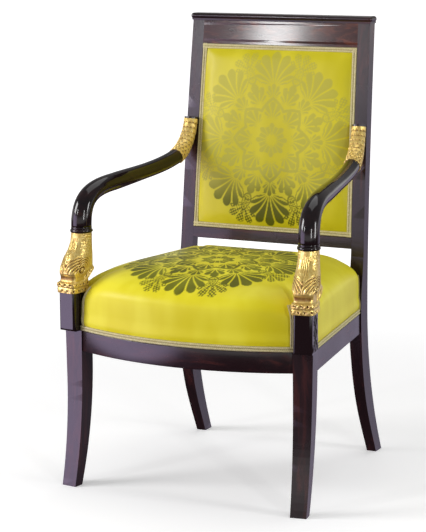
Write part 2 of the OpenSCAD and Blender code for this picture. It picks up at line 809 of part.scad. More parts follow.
// Back rails, which follow the rake of the posts between two depths behind their faces
back_steps = 10;
module back_slab(low, high, near, far) {
    zs = heights(low, high, back_steps);
    upright_y(rear_w) polygon(concat([for (z = zs) [post_front_y(z) + near, z]],
        [for (i = [back_steps : -1 : 0]) [post_front_y(zs[i]) + far, zs[i]]]));
}
cap_peg_dia = cap_h * 0.5;
cap_peg_l = cap_h;
module cap_peg(gap) {
    y = post_front_y(post_top) + tablet_t / 2;
    for (x = [-1, 0, 1]) translate([x * post_in_x(post_top) * 0.7, y, post_top - cap_peg_l / 2 - gap])
        cylinder(d = cap_peg_dia + 2 * gap, h = cap_peg_l + 2 * gap);
}
module cap_dowels() {
    color("#c8a878") cap_peg(0);
}
module back_tablet() {
    color("#4a2322") difference() {
        union() {
            intersection() {
                back_slab(tablet_low, post_top, 0, tablet_t);
                between_posts();
            }
            tablet_tenon(0);
            left() tablet_tenon(0);
        }
        cap_peg(fit);
    }
}
module back_lower_rail() {
    color("#3f1d1c") {
        intersection() {
            back_slab(back_low, slip_low, 0, tablet_t);
            between_posts();
        }
        lower_tenon(0);
        left() lower_tenon(0);
    }
}
// Moulding: a small fillet under a roll that returns round both ends
roll_h = cap_h - cap_fillet_h;
module back_cap() {
    roll_r = roll_h / 2;
    front = post_front_y(post_top) - cap_over;
    back = post_back_y(post_top) + cap_over / 2;
    side = post_out_x(post_top) + cap_over * 0.8;
    color("#351817") difference() {
        union() {
            translate([-side + cap_over / 2, front + cap_over / 2, post_top])
                cube([2 * side - cap_over, back - front - cap_over * 0.75, cap_h / 2]);
            translate([0, 0, post_top + cap_fillet_h + roll_r]) {
                translate([-side + roll_r, front + roll_r, -roll_r])
                    cube([2 * (side - roll_r), back - front - 2 * roll_r, roll_h]);
                for (y = [front + roll_r, back - roll_r]) translate([0, y, 0])
                    rotate([0, 90, 0]) cylinder(r = roll_r, h = 2 * (side - roll_r), center = true);
                for (x = [-side + roll_r, side - roll_r]) {
                    translate([x, (front + back) / 2, 0]) rotate([90, 0, 0])
                        cylinder(r = roll_r, h = back - front - 2 * roll_r, center = true);
                    for (y = [front + roll_r, back - roll_r]) translate([x, y, 0]) sphere(roll_r);
                }
            }
        }
        cap_peg(fit);
    }
}

// Slip frame: four bars, halved together at the corners, which carry the back's upholstery
slip_mid = slip_set + slip_t / 2;
slip_far = slip_set + slip_t;
slip_bottom = slip_low + fit;
slip_top = tablet_low - fit;
module slip_panel(low, high) {
    intersection() {
        back_slab(low, high, slip_set, slip_far);
        between_posts(ease_gap);
    }
}
module slip_frame_uprights() {
    color("#b08a5c") difference() {
        slip_panel(slip_bottom, slip_top);
        between_posts(ease_gap + slip_w);
        back_slab(slip_bottom - over, slip_bottom + slip_w, slip_set - over, slip_mid);
        back_slab(slip_top - slip_w, slip_top + over, slip_set - over, slip_mid);
        slip_screw(fit);
        left() slip_screw(fit);
    }
}
module slip_bar(low, high) {
    difference() {
        slip_panel(low, high);
        difference() {
            back_slab(low - over, high + over, slip_mid, slip_far + over);
            between_posts(ease_gap + slip_w);
        }
    }
}
module slip_frame_bars() {
    color("#b08a5c") {
        slip_bar(slip_bottom, slip_bottom + slip_w);
        slip_bar(slip_top - slip_w, slip_top);
    }
}
slip_screw_shares = [0.28, 0.72];
slip_screw_bite = stile_top_w * 0.4;
module slip_screw(gap) {
    for (s = slip_screw_shares) {
        z = mix(slip_bottom, slip_top, s);
        translate([post_in_x(z) - ease_gap - slip_w - fit, post_front_y(z) + slip_mid, z])
            rotate([0, 90, 0]) screw(slip_w + slip_screw_bite, gap);
    }
}
module slip_frame_screws() {
    color("#8d8a80") {
        slip_screw(0);
        left() slip_screw(0);
    }
}

// Webbing of the back: upright straps on the slip frame, and straps across over them
web_pitch = web_w + web_gap;
web_margin = gimp_w;
function strap_count(space) = floor((space + web_gap) / web_pitch);
function strap_at(i, count) = (i - (count - 1) / 2) * web_pitch;
module back_webbing_upright() {
    count = strap_count(2 * (post_in_x(tablet_low) - web_margin));
    color("#a08b62") for (i = [0 : count - 1]) intersection() {
        back_slab(slip_bottom + web_margin, slip_top - web_margin, slip_set - web_t, slip_set);
        translate([strap_at(i, count) - web_w / 2, 0, 0]) cube([web_w, chair_d, chair_h]);
    }
}
module back_webbing_across() {
    count = strap_count(slip_top - slip_bottom - 2 * web_margin);
    mid = (slip_bottom + slip_top) / 2;
    color("#a08b62") for (i = [0 : count - 1]) intersection() {
        back_slab(mid + strap_at(i, count) - web_w / 2, mid + strap_at(i, count) + web_w / 2,
            slip_set - 2 * web_t - fit, slip_set - web_t - fit);
        between_posts(web_margin);
    }
}

// Pad and cover of the back: a flat margin under the gimp round a shallow crown.
// Depths are measured behind the posts' front faces, at the margin and at the crown.
pad_far = slip_set - 2 * web_t - ease_gap;
pad_edge = pad_far - cloth_t;
pad_cells = 12;
pad_low = slip_bottom + ease_gap;
pad_high = slip_top - ease_gap;
pad_wide_share = 1 - gimp_w / post_in_x(pad_low);
pad_tall_share = 1 - 2 * gimp_w / (pad_high - pad_low);
function pad_lines(share) = concat([-1],
    [for (i = [0 : pad_cells]) sin(180 * i / pad_cells - 90) * share], [1]);
function pad_rise(a, b) = sqrt(bulge(a / pad_wide_share)) * sqrt(bulge(b / pad_tall_share));
function bulge(a) = 1 - pow(unit(abs(a)), 4);
module back_panel(near_edge, near_crown, far_edge, far_crown) {
    across = pad_lines(pad_wide_share);
    up = pad_lines(pad_tall_share);
    n = len(across);
    function spot(a, b, edge, crown) = let (z = mix(pad_low, pad_high, (b + 1) / 2))
        [a * (post_in_x(z) - ease_gap - fit), post_front_y(z) + mix(edge, crown, pad_rise(a, b)), z];
    near = [for (b = up, a = across) spot(a, b, near_edge, near_crown)];
    far = [for (b = up, a = across) spot(a, b, far_edge, far_crown)];
    m = n * n;
    fronts = [for (j = [0 : n - 2], i = [0 : n - 2]) let (p = j * n + i)
        each [[p, p + n + 1, p + 1], [p, p + n, p + n + 1]]];
    backs = [for (f = fronts) [f[0] + m, f[2] + m, f[1] + m]];
    rim = concat([for (i = [0 : n - 2]) i], [for (j = [0 : n - 2]) j * n + n - 1],
        [for (i = [n - 1 : -1 : 1]) (n - 1) * n + i], [for (j = [n - 1 : -1 : 1]) j * n]);
    edges = [for (k = [0 : len(rim) - 1]) let (p = rim[k], q = rim[(k + 1) % len(rim)])
        each [[p, q, q + m], [p, q + m, p + m]]];
    polyhedron(concat(near, far), concat(fronts, backs, edges));
}
module back_stuffing() {
    color("#ded5bf") back_panel(pad_edge, -back_crown + cloth_t, pad_far, pad_far);
}
module back_cover() {
    color("#d8cf3e") back_panel(pad_edge - cloth_t, -back_crown, pad_edge, -back_crown + cloth_t);
}
module back_outer_cover() {
    color("#d8cf3e") intersection() {
        back_slab(slip_bottom, slip_top, slip_far, slip_far + cloth_t);
        between_posts(ease_gap);
    }
}
module gimp_frame(near, far) {
    difference() {
        intersection() {
            back_slab(slip_bottom + ease_gap, slip_top - ease_gap, near, far);
            between_posts(2 * ease_gap);
        }
        intersection() {
            upright_y(rear_w) translate([0, slip_bottom + gimp_w])
                square([chair_d, slip_top - slip_bottom - 2 * gimp_w]);
            between_posts(gimp_w);
        }
    }
}
module back_gimp_front() {
    color("#cfc47c") gimp_frame(pad_edge - cloth_t - fit - gimp_t, pad_edge - cloth_t - fit);
}
module back_gimp_rear() {
    color("#cfc47c") gimp_frame(slip_far + cloth_t, slip_far + cloth_t + gimp_t);
}

// Seat webbing: straps woven over and under each other, level with the tops of the rails
web_end = 6;
len_count = strap_count(2 * (post_in_x(rail_top) - web_end));
cross_count = strap_count(rear_y - rail_t - side_a.y - 2 * web_end);
cross_mid = (side_a.y + rear_y - rail_t) / 2;
function cross_y(j) = cross_mid + strap_at(j, cross_count);
function side_x_at(y, inset) = side_line(inset, (y - side_a.y) / side_dir.y).x;
// Path of a strap that runs from a to b over crossings at the places in spots
function woven(a, b, spots, first_up) = concat([[a, 0], [spots[0] - web_w / 2 - web_gap, 0]],
    [for (k = [0 : len(spots) - 1]) let (h = (k + first_up) % 2 == 0 ? 0 : web_t)
        each [[spots[k] - web_w / 2, h], [spots[k] + web_w / 2, h]]],
    [[spots[len(spots) - 1] + web_w / 2 + web_gap, 0], [b, 0]]);
module strap_outline(path) {
    n = len(path);
    polygon(concat(path, [for (i = [n - 1 : -1 : 0]) path[i] + [0, web_t]]));
}
module seat_webbing_lengthwise() {
    spots = [for (j = [0 : cross_count - 1]) cross_y(j)];
    color("#a08b62") for (i = [0 : len_count - 1]) {
        x = strap_at(i, len_count);
        front = bow_y(abs(x) + web_w / 2, bow_r - rebate_d) + web_end;
        translate([x, 0, rail_top]) upright_y(web_w)
            strap_outline(woven(front, rear_y - rebate_d - web_end, spots, i % 2));
    }
}
module seat_webbing_crosswise() {
    spots = [for (i = [0 : len_count - 1]) strap_at(i, len_count)];
    color("#a08b62") for (j = [0 : cross_count - 1]) {
        half = side_x_at(cross_y(j) + web_w / 2, rebate_d + web_end);
        translate([0, cross_y(j), rail_top]) upright_x(web_w)
            strap_outline(woven(-half, half, spots, (j + 1) % 2));
    }
}

// Plan of the seat cushion at the faces of the rails, from the front middle to the rear middle.
// It goes round the block of the front leg and round the post.
arc_steps = 7;
side_steps = 7;
rear_steps = 3;
block_side_u = block_in_u - ease_gap;
notch_x = side_point(block_side_u, -leg_front).x;
notch_v = block_back_v + ease_gap;
post_gap_x = post_in_x(crown_h) - ease_gap;
half_plan = concat(
    [for (i = [0 : arc_steps]) let (x = notch_x * i / arc_steps) [x, bow_y(x, bow_r)]],
    [side_point(block_side_u, notch_v)],
    [for (j = [0 : side_steps])
        side_line(0, mix(notch_v - leg_back, side_l - ease_gap, j / side_steps))],
    [[post_gap_x, side_b.y - ease_gap]],
    [for (k = [0 : rear_steps]) [post_gap_x * (1 - k / rear_steps), rear_y]]);
half_n = len(half_plan);
plan = concat(half_plan, [for (i = [half_n - 2 : -1 : 1]) [-half_plan[i].x, half_plan[i].y]]);
// The hem is tacked in the rebates, and stops on top of the rails at the blocks and posts
in_notch = concat([for (i = [0 : arc_steps]) 0], [1], [for (j = [0 : side_steps - 1]) 0],
    [1, 1, 1], [for (k = [1 : rear_steps]) 0]);
half_hem = [for (n = in_notch) n == 1 ? rail_top + ease_gap : shoulder_h];
hem = concat(half_hem, [for (i = [half_n - 2 : -1 : 1]) half_hem[i]]);
crown_share = 0.56;
crown_y = mix(bow_front, rear_y, crown_share);
notch_angle = atan2(notch_v + neck_y - crown_y, neck_x + block_in_u);
function wall_z(i) = let (p = plan[i] - [0, crown_y])
    wall_h - corner_drop * hump(atan2(p.y, abs(p.x)) - notch_angle, 9);
// Point i of the plan, after its edges have moved outwards by d
function edge_out(i) = let (n = len(plan), e = plan[(i + 1) % n] - plan[i % n])
    [e.y, -e.x] / norm(e);
function moved(i, d) = let (a = edge_out(i + len(plan) - 1), b = edge_out(i))
    plan[i] + d * (a + b) / (1 + a * b);
// The walls stand off the rails' faces by these shares of the rebate's depth, at shares of
// their height, and the dome rises over shares of the plan
wall_shares = [[0, -1], [0.3, -0.3], [0.65, 0], [1, -0.2]];
dome_shares = [0.985, 0.95, 0.88, 0.76, 0.58, 0.36, 0.14];
dome_power = 2.8;
dome_root = 0.46;
// Power of the share at which the notches fade out towards the crown
notch_power = 12;
base_z = rail_top + 2 * web_t;
cushion_low = base_z + cloth_t;
hem_in = -rebate_d + ease_gap;
function wall_ring(s, inset) = [for (i = [0 : len(plan) - 1])
    let (p = moved(i, mix(0, hem_in + cloth_t, -s.y) - inset))
    [p.x, p.y, mix(cushion_low, wall_z(i), s.x)]];
// Radius of the plan from the crown, and that radius with the notch at a point closed
function reach(i) = norm(plan[i % len(plan)] - [0, crown_y]);
function closed_reach(i) = max(reach(i), (reach(i + 1) + reach(i + len(plan) - 1)) / 2);
function dome_ring(r, inset) = [for (i = [0 : len(plan) - 1])
    let (p = moved(i, -inset), z = wall_z(i),
        s = r * mix(closed_reach(i) / reach(i), 1, pow(r, notch_power)))
    [p.x * s, crown_y + (p.y - crown_y) * s,
        mix(z, crown_h, pow(1 - pow(r, dome_power), dome_root)) - inset]];
function cushion(inset) = concat([for (s = wall_shares) wall_ring(s, inset)],
    [for (r = dome_shares) dome_ring(r, inset)]);
function hem_ring(d) = [for (i = [0 : len(plan) - 1]) let (p = moved(i, d)) [p.x, p.y, hem[i]]];
module seat_base_cloth() {
    color("#b8a274") translate([0, 0, base_z]) linear_extrude(cloth_t)
        polygon([for (i = [0 : len(plan) - 1]) moved(i, -2 * rebate_d)]);
}
module seat_stuffing() {
    color("#ded5bf") loft(cushion(cloth_t + ease_gap / 2));
}
module seat_cover() {
    outer = cushion(0);
    inner = cushion(cloth_t);
    last = len(inner) - 1;
    color("#d8cf3e") loft(concat([for (j = [last : -1 : 0]) inner[j]],
        [hem_ring(hem_in), hem_ring(hem_in + cloth_t)], outer));
}

// Gimp round the seat, over the tacked hem
module seat_gimp() {
    back_x = 2 * (post_in_x(rail_top) - ease_gap);
    out = gimp_proud;
    color("#cfc47c") {
        intersection() {
            translate([0, 0, shoulder_h]) bow_ring(bow_r + out, bow_r + out - gimp_t, rebate_h);
            between_sides(block_side_u, 2 * rail_top);
        }
        side_gimp();
        left() side_gimp();
        translate([-back_x / 2, rear_y + out - gimp_t, shoulder_h]) cube([back_x, gimp_t, rebate_h]);
    }
}
module side_gimp() {
    start = notch_v - leg_back;
    along_side(0, 0) translate([gimp_proud - gimp_t, start, shoulder_h])
        cube([gimp_t, side_l - start - ease_gap, rebate_h]);
}

left() front_leg();  // front_leg_left
front_leg();  // front_leg_right
left() rear_post();  // rear_post_left
rear_post();  // rear_post_right
front_rail();
left() side_rail();  // side_rail_left
side_rail();  // side_rail_right
rear_rail();
left() corner_block_front();  // corner_block_front_left
corner_block_front();  // corner_block_front_right
left() corner_block_rear();  // corner_block_rear_left
corner_block_rear();  // corner_block_rear_right
corner_screws();
left() dolphin_head();  // dolphin_head_left
dolphin_head();  // dolphin_head_right
left() arm();  // arm_left
arm();  // arm_right
left() arm_tail();  // arm_tail_left
arm_tail();  // arm_tail_right
left() tail_plate();  // tail_plate_left
tail_plate();  // tail_plate_right
neck_dowels();
block_dowels();
tail_dowels();
arm_screws();
screw_plugs();
back_tablet();
back_cap();
cap_dowels();
back_lower_rail();
slip_frame_uprights();
slip_frame_bars();
slip_frame_screws();
back_webbing_upright();
back_webbing_across();
back_stuffing();
back_cover();
back_outer_cover();
back_gimp_front();
back_gimp_rear();
seat_webbing_lengthwise();
seat_webbing_crosswise();
seat_base_cloth();
seat_stuffing();
seat_cover();
seat_gimp();
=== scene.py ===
"""Looks of the open-arm chair: smooth wood, carved and gilded arm supports, silk upholstery.

Lengths are written in millimetres and turned into metres when a mesh is made.
The frame is the part's own: z up, the front of the seat towards -y, the floor at z = 0.
"""

import math

import bpy
import numpy as np
from mathutils import Matrix, kdtree


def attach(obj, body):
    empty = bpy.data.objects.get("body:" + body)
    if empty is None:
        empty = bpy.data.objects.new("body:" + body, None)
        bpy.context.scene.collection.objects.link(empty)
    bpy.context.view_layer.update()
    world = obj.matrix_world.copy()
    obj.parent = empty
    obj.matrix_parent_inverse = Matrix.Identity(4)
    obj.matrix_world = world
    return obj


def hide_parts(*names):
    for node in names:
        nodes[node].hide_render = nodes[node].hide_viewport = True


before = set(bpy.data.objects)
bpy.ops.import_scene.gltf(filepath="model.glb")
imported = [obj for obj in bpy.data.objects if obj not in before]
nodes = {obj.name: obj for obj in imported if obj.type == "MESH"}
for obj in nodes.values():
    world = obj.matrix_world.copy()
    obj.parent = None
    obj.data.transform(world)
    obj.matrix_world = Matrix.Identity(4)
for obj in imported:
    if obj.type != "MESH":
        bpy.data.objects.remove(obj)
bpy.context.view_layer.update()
scene = bpy.context.scene
MM = 0.001

# Sizes shared with the part: rails, posts and their bends
RAIL_TOP = 342
REAR_W = 447
REAR_Y = 195.5
SEAT_BACK = 198.5
POST_TOP = 949.5
POST_TOP_W = 423
POST_W = (30, 27.5)
KNEE_D = (36, 25)
STILE_D = (25, 27)
FOOT_SPLAY = 89
SPLAY_BEND = 1.95
BACK_RAKE = 60
RAKE_BEND = 1.35
BACK_LOW = 468
SLIP_LOW = 492.6
SLIP_HIGH = 898.4

# Front legs and their blocks, the bow of the front rail, and the arms
SHOULDER = 331
LEG_OUT = 18.9
LEG_BACK = 1.5
BLOCK_W = 39.5
BLOCK_D = 48.5
BLOCK_TOP = 412
NECK_X = 258.5
NECK_Y = -198.9
NECK_Z = 533
HEAD_H = 121
ARM_Z = 545
TAIL_Z = 656
TIP_Z = 733
TIP_D = 28
TIP_SINK = 4
BOW_FRONT = -286.9
BOW_SAG = 50
BOW_HALF = NECK_X - 21
BOW_R = (BOW_HALF**2 + BOW_SAG**2) / (2 * BOW_SAG)
BOW_MID_Y = BOW_FRONT + BOW_R

# Upholstery
WALL_H = 403
CROWN_H = 472
GIMP_W = 11

# Takes a point to the other side of the chair
MIRROR = np.array([-1, 1, 1])


def mix(a, b, t):
    return a + (b - a) * t


def unit(t):
    return np.clip(t, 0.0, 1.0)


def smooth(t):
    """A soft step from 0 at t = 0 to 1 at t = 1."""
    t = unit(t)
    return t * t * (3 - 2 * t)


def fade(x, start, end):
    """A soft step from 0 at start to 1 at end."""
    return smooth((x - start) / (end - start))


def hump(x, w):
    """1 at x = 0, and next to nothing beyond twice the width w."""
    return np.exp(-((x / w) ** 2))


def turned(u, v, angle):
    return u * math.cos(angle) - v * math.sin(angle), u * math.sin(angle) + v * math.cos(angle)


def unit_rows(vectors):
    return vectors / np.linalg.norm(vectors, axis=1, keepdims=True)


def rise_share(z, low, high=POST_TOP):
    """How far z is on the way from low to high, from 0 to 1."""
    return unit((z - low) / (high - low))


# Rear posts: y of the faces and x of the sides at height z
def post_back_y(z):
    low = unit((RAIL_TOP - z) / RAIL_TOP) ** SPLAY_BEND
    return SEAT_BACK + FOOT_SPLAY * low + BACK_RAKE * rise_share(z, RAIL_TOP) ** RAKE_BEND


def post_front_y(z):
    knee = mix(*KNEE_D, smooth(rise_share(z, RAIL_TOP, BACK_LOW)))
    stile = mix(*STILE_D, rise_share(z, BACK_LOW))
    return post_back_y(z) - np.where(z < BACK_LOW, knee, stile)


def post_out_x(z):
    return mix(REAR_W, POST_TOP_W, rise_share(z, RAIL_TOP)) / 2


def post_in_x(z):
    return post_out_x(z) - mix(*POST_W, rise_share(z, RAIL_TOP))


# Side frames: u outwards and v backwards from the axis of the arm's neck
TIP_X = (post_out_x(TIP_Z) + post_in_x(TIP_Z)) / 2
TIP_Y = post_front_y(TIP_Z) - TIP_D / 2 + TIP_SINK
SIDE_TURN = math.atan2(NECK_X - TIP_X, TIP_Y - NECK_Y)
ARM_RUN = math.hypot(NECK_X - TIP_X, TIP_Y - NECK_Y)


def side_point(u, v):
    x, y = turned(u, v, SIDE_TURN)
    return NECK_X + x, NECK_Y + y


def on_side(points):
    """Points [u, v, z] of a side frame, as [x, y, z]."""
    x, y = side_point(points[..., 0], points[..., 1])
    return np.stack([x, y, points[..., 2]], -1)


def bow_y(x, r=BOW_R):
    """The y of the front rail's bow, or of an arc round the same centre."""
    return BOW_MID_Y - np.sqrt(r * r - x * x)


def placed(name, data):
    """A new object in the scene."""
    made = bpy.data.objects.new(name, data)
    scene.collection.objects.link(made)
    return made


# Mesh helpers: a mesh is a pair of points, in millimetres, and faces
def make_object(name, mesh, material):
    points, faces = mesh
    data = bpy.data.meshes.new(name)
    data.from_pydata((np.asarray(points, float).reshape(-1, 3) * MM).tolist(), [], faces)
    data.materials.append(material)
    data.shade_smooth()
    return placed(name, data)


def add_piece(name, mesh, material, slot, stands_for=(), **layers):
    """A visible piece on the root body; layers are numbers at its points, for the shaders."""
    piece = make_object(name, mesh, material)
    for layer_name, values in layers.items():
        layer = piece.data.attributes.new(layer_name, "FLOAT", "POINT")
        layer.data.foreach_set("value", np.asarray(values, np.float32).ravel())
    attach(piece, "root")
    if stands_for:
        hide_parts(*stands_for)
    return piece


def both_sides(name, mesh, material, slot, stands_for=(), **layers):
    """A right piece from the given mesh and a left one from its mirror image."""
    points, faces = mesh
    mirrored = points.reshape(-1, 3) * MIRROR, [f[::-1] for f in faces]
    for side, side_mesh in (("right", mesh), ("left", mirrored)):
        names = [f"{n}_{side}" for n in stands_for]
        add_piece(f"{name}_{side}", side_mesh, material, slot, names, **layers)


def grid_faces(rows, cols, wrap=True, offset=0, flip=False):
    """Faces of a grid of points, row after row, closed round each row where wrap is set."""
    grid = offset + np.arange(rows * cols).reshape(rows, cols)
    if wrap:
        grid = np.column_stack([grid, grid[:, :1]])
    corners = [grid[:-1, :-1], grid[:-1, 1:], grid[1:, 1:], grid[1:, :-1]]
    return np.stack(corners[::-1] if flip else corners, -1).reshape(-1, 4).tolist()


def loft(rings):
    """A closed body through rings of points, with a cap at each end."""
    rows, cols = rings.shape[:2]
    first, last = range(cols), range((rows - 1) * cols, rows * cols)
    faces = grid_faces(rows, cols) + [list(first)[::-1], list(last)]
    return rings.reshape(-1, 3), faces


def slab(near, far):
    """A thin closed body between two open grids of points."""
    rows, cols = near.shape[:2]
    count = rows * cols
    faces = grid_faces(rows, cols, False) + grid_faces(rows, cols, False, count, True)
    grid = np.arange(count).reshape(rows, cols)
    rim = np.concatenate([grid[0], grid[1:, -1], grid[-1, -2::-1], grid[-2:0:-1, 0]]).tolist()
    faces += [[p, p + count, q + count, q] for p, q in zip(rim, rim[1:] + rim[:1])]
    return np.concatenate([near.reshape(-1, 3), far.reshape(-1, 3)]), faces


def joined(meshes):
    """One mesh from several."""
    points = []
    faces = []
    start = 0
    for part_points, part_faces in meshes:
        points.append(part_points)
        faces += [[start + i for i in f] for f in part_faces]
        start += len(part_points)
    return np.concatenate(points), faces


# Shader helpers
class Num:
    """A number in a shader: arithmetic on it adds Math nodes to the shader's tree."""

    def __init__(self, socket):
        self.socket = socket
        self.tree = socket.id_data

    def math(self, kind, *others):
        values = dict(enumerate((self,) + others))
        return Num(add_node(self.tree, "Math", values, operation=kind).outputs[0])

    def __add__(self, other):
        return self.math("ADD", other)

    def __sub__(self, other):
        return self.math("SUBTRACT", other)

    def __mul__(self, other):
        return self.math("MULTIPLY", other)

    def __rsub__(self, other):
        return (self * -1) + other

    def sin(self):
        return self.math("SINE")

    def fade(self, start, end, a=0.0, b=1.0):
        """Smooth step from a at start to b at end."""
        values = {"Value": self, "From Min": start, "From Max": end, "To Min": a, "To Max": b}
        node = add_node(self.tree, "MapRange", values, interpolation_type="SMOOTHSTEP")
        return Num(node.outputs["Result"])


def put(slot, value):
    """Links a socket to the output of a node, or sets it to a constant."""
    if isinstance(value, Num):
        value = value.socket
    if isinstance(value, bpy.types.NodeSocket):
        slot.id_data.links.new(value, slot)
    else:
        slot.default_value = value


def add_node(tree, kind, values, **settings):
    """A shader node with its settings; values go to its sockets, by name or number."""
    node = tree.nodes.new("ShaderNode" + kind)
    for key, value in settings.items():
        setattr(node, key, value)
    for key, value in values.items():
        put(node.inputs[key], value)
    return node


class Paint:
    """A node material under construction, with short calls for the nodes it uses most."""

    def __init__(self, name):
        self.material = bpy.data.materials.new(name)
        self.material.use_nodes = True
        self.tree = self.material.node_tree
        self.shader = self.tree.nodes["Principled BSDF"]
        self.place = add_node(self.tree, "TexCoord", {}).outputs["Object"]

    def set(self, **values):
        """Sets or links the shader's own sockets; underscores in a name stand for spaces."""
        for key, value in values.items():
            put(self.shader.inputs[key.replace("_", " ")], value)

    def axes(self):
        """The point's x, y and z in millimetres."""
        node = add_node(self.tree, "SeparateXYZ", {0: self.place})
        return [Num(out) * (1 / MM) for out in node.outputs]

    def noise(self, scale, detail, roughness, grain=(1, 1, 1), twist=0.0):
        """Noise at the point in metres, whose axes are first multiplied by grain."""
        place = add_node(self.tree, "Mapping", {"Vector": self.place, "Scale": grain}).outputs[0]
        values = {"Vector": place, "Scale": scale, "Detail": detail}
        values.update(Roughness=roughness, Distortion=twist)
        return Num(add_node(self.tree, "TexNoise", values).outputs[0])

    def attribute(self, name):
        """The numbers kept at the points of a mesh."""
        return Num(add_node(self.tree, "Attribute", {}, attribute_name=name).outputs["Fac"])

    def ramp(self, factor, *stops):
        """A colour between stops of the form (position, colour)."""
        node = add_node(self.tree, "ValToRGB", {"Fac": factor})
        elements = node.color_ramp.elements
        while len(elements) < len(stops):
            elements.new(0.5)
        for element, (position, color) in zip(elements, stops):
            element.position = position
            element.color = color
        return node.outputs["Color"]

    def blend(self, factor, a, b):
        """Colour a where the factor is 0, b where it is 1: inputs 6 and 7 are the node's colours."""
        node = add_node(self.tree, "Mix", {0: factor, 6: a, 7: b}, data_type="RGBA")
        return node.outputs[2]

    def bump(self, height, strength, distance):
        values = {"Strength": strength, "Distance": distance * MM, "Height": height}
        self.set(Normal=add_node(self.tree, "Bump", values).outputs["Normal"])


def srgb(r, g, b):
    """Linear colour from the 0 to 255 values of a screen."""
    values = []
    for c in (r / 255, g / 255, b / 255):
        values.append(c / 12.92 if c <= 0.04045 else ((c + 0.055) / 1.055) ** 2.4)
    return (*values, 1)


# Woods: the shares of a grain say how fast the figure changes along each axis
UPRIGHT = (6.0, 6.0, 0.7)
ACROSS = (0.7, 6.0, 6.0)
BACKWARD = (6.0, 0.7, 6.0)
TABLET_GRAIN = (2.5, 8.0, 8.0)
RIPPLE_GRAIN = (60, 9, 9)
WOOD_TONES = (srgb(18, 7, 9), srgb(32, 14, 18), srgb(74, 34, 30))
TABLET_TONES = (srgb(34, 13, 12), srgb(60, 26, 22), srgb(116, 58, 36))
EBONY_DARK = srgb(22, 10, 13)
PORE_DIM = 0.35


def mahogany(name, grain, tones=WOOD_TONES, coat=0.35, specular=0.4, black_above=0, ripple=0):
    """Polished mahogany, with the grain along the axis whose share in grain is small."""
    paint = Paint(name)
    dark, mid, red = tones
    figure = paint.noise(9, 5, 0.62, grain, twist=0.6)
    pores = paint.noise(150, 2, 0.5, grain)
    cloud = paint.noise(7, 2, 0.5)
    base = paint.ramp(figure * 0.75 + cloud * 0.25, (0.3, dark), (0.52, mid), (0.72, red))
    pore_color = (*[c * PORE_DIM for c in dark[:3]], 1)
    color = paint.blend(pores.fade(0.55, 0.75, 0.0, 0.45), base, pore_color)
    rough = cloud.fade(0.3, 0.7, 0.2, 0.3)
    if black_above:
        above = paint.axes()[2].fade(black_above - 1, black_above + 1)
        color = paint.blend(above, color, EBONY_DARK)
        rough = rough * above.fade(0.0, 1.0, 1.0, 0.5)
    relief = pores + figure * 0.5
    if ripple:
        relief = relief + paint.noise(1, 3, 0.6, RIPPLE_GRAIN) * ripple
    paint.bump(relief, 0.12, 0.3)
    paint.set(Base_Color=color, Roughness=rough)
    paint.set(Coat_Weight=coat, Coat_Roughness=0.1, Specular_IOR_Level=specular)
    return paint.material


def ebonised_wood():
    paint = Paint("ebonised_wood")
    figure = paint.noise(12, 4, 0.6, (4.0, 0.8, 4.0), twist=0.4)
    base = paint.ramp(figure, (0.35, srgb(10, 5, 9)), (0.6, srgb(28, 13, 15)), (0.8, srgb(54, 28, 25)))
    paint.bump(figure, 0.05, 0.2)
    paint.set(Base_Color=base, Roughness=figure.fade(0.3, 0.7, 0.16, 0.26))
    paint.set(Coat_Weight=0.8, Coat_Roughness=0.06, Specular_IOR_Level=0.06)
    return paint.material


def plain_wood(name, grain):
    """Unpolished beech."""
    paint = Paint(name)
    figure = paint.noise(14, 4, 0.6, grain, twist=0.5)
    flecks = paint.noise(120, 2, 0.5, grain)
    base = paint.ramp(figure, (0.3, srgb(150, 112, 72)), (0.7, srgb(190, 152, 106)))
    paint.bump(flecks, 0.15, 0.3)
    fleck_share = flecks.fade(0.55, 0.7, 0.0, 0.4)
    paint.set(Base_Color=paint.blend(fleck_share, base, srgb(120, 84, 50)), Roughness=0.6)
    return paint.material


# Metals
def gilding():
    """Burnished gold leaf, redder and darker where the carving is deep: painted shade in the hollows,
    with some wear from noise.
    """
    paint = Paint("gilding")
    leaf = paint.noise(160, 4, 0.6)
    rub = paint.noise(45, 3, 0.5)
    tones = [(0.3, srgb(216, 178, 88)), (0.55, srgb(240, 210, 122)), (0.8, srgb(252, 236, 172))]
    # Darker and redder in the carving's hollows, which is painted shade; the rub noise adds wear
    wear_and_hollow_shade = (paint.attribute("carved_depth") + (rub - 0.5) * 0.5).fade(0.1, 0.85)
    paint.bump(leaf + rub, 0.12, 0.4)
    paint.set(Base_Color=paint.blend(wear_and_hollow_shade, paint.ramp(leaf, *tones), srgb(112, 66, 22)))
    paint.set(Roughness=wear_and_hollow_shade.fade(0.0, 1.0, 0.3, 0.62))
    paint.set(Metallic=0.6, Coat_Weight=0.2, Coat_Roughness=0.25)
    return paint.material


def screw_steel():
    paint = Paint("screw_steel")
    marks = paint.noise(400, 3, 0.6)
    paint.set(Base_Color=paint.ramp(marks, (0.3, srgb(96, 92, 84)), (0.7, srgb(150, 146, 136))))
    paint.set(Roughness=marks.fade(0.3, 0.7, 0.35, 0.55), Metallic=1.0)
    return paint.material


# Cloths
def woven(name, pitch, light, dark, height, roughness=0.8):
    """Plain weave: crossed threads of the given pitch, in millimetres."""
    paint = Paint(name)
    x, y, z = paint.axes()
    turn = 2 * math.pi / pitch
    weave = (x * turn).sin() * ((y + z) * turn).sin() * 0.5 + 0.5
    slub = paint.noise(60, 3, 0.6)
    paint.bump(weave + slub * 0.5, 0.5, height)
    paint.set(Base_Color=paint.ramp(weave * 0.6 + slub * 0.4, (0.25, dark), (0.75, light)))
    paint.set(Roughness=roughness, Sheen_Weight=0.2)
    return paint.material
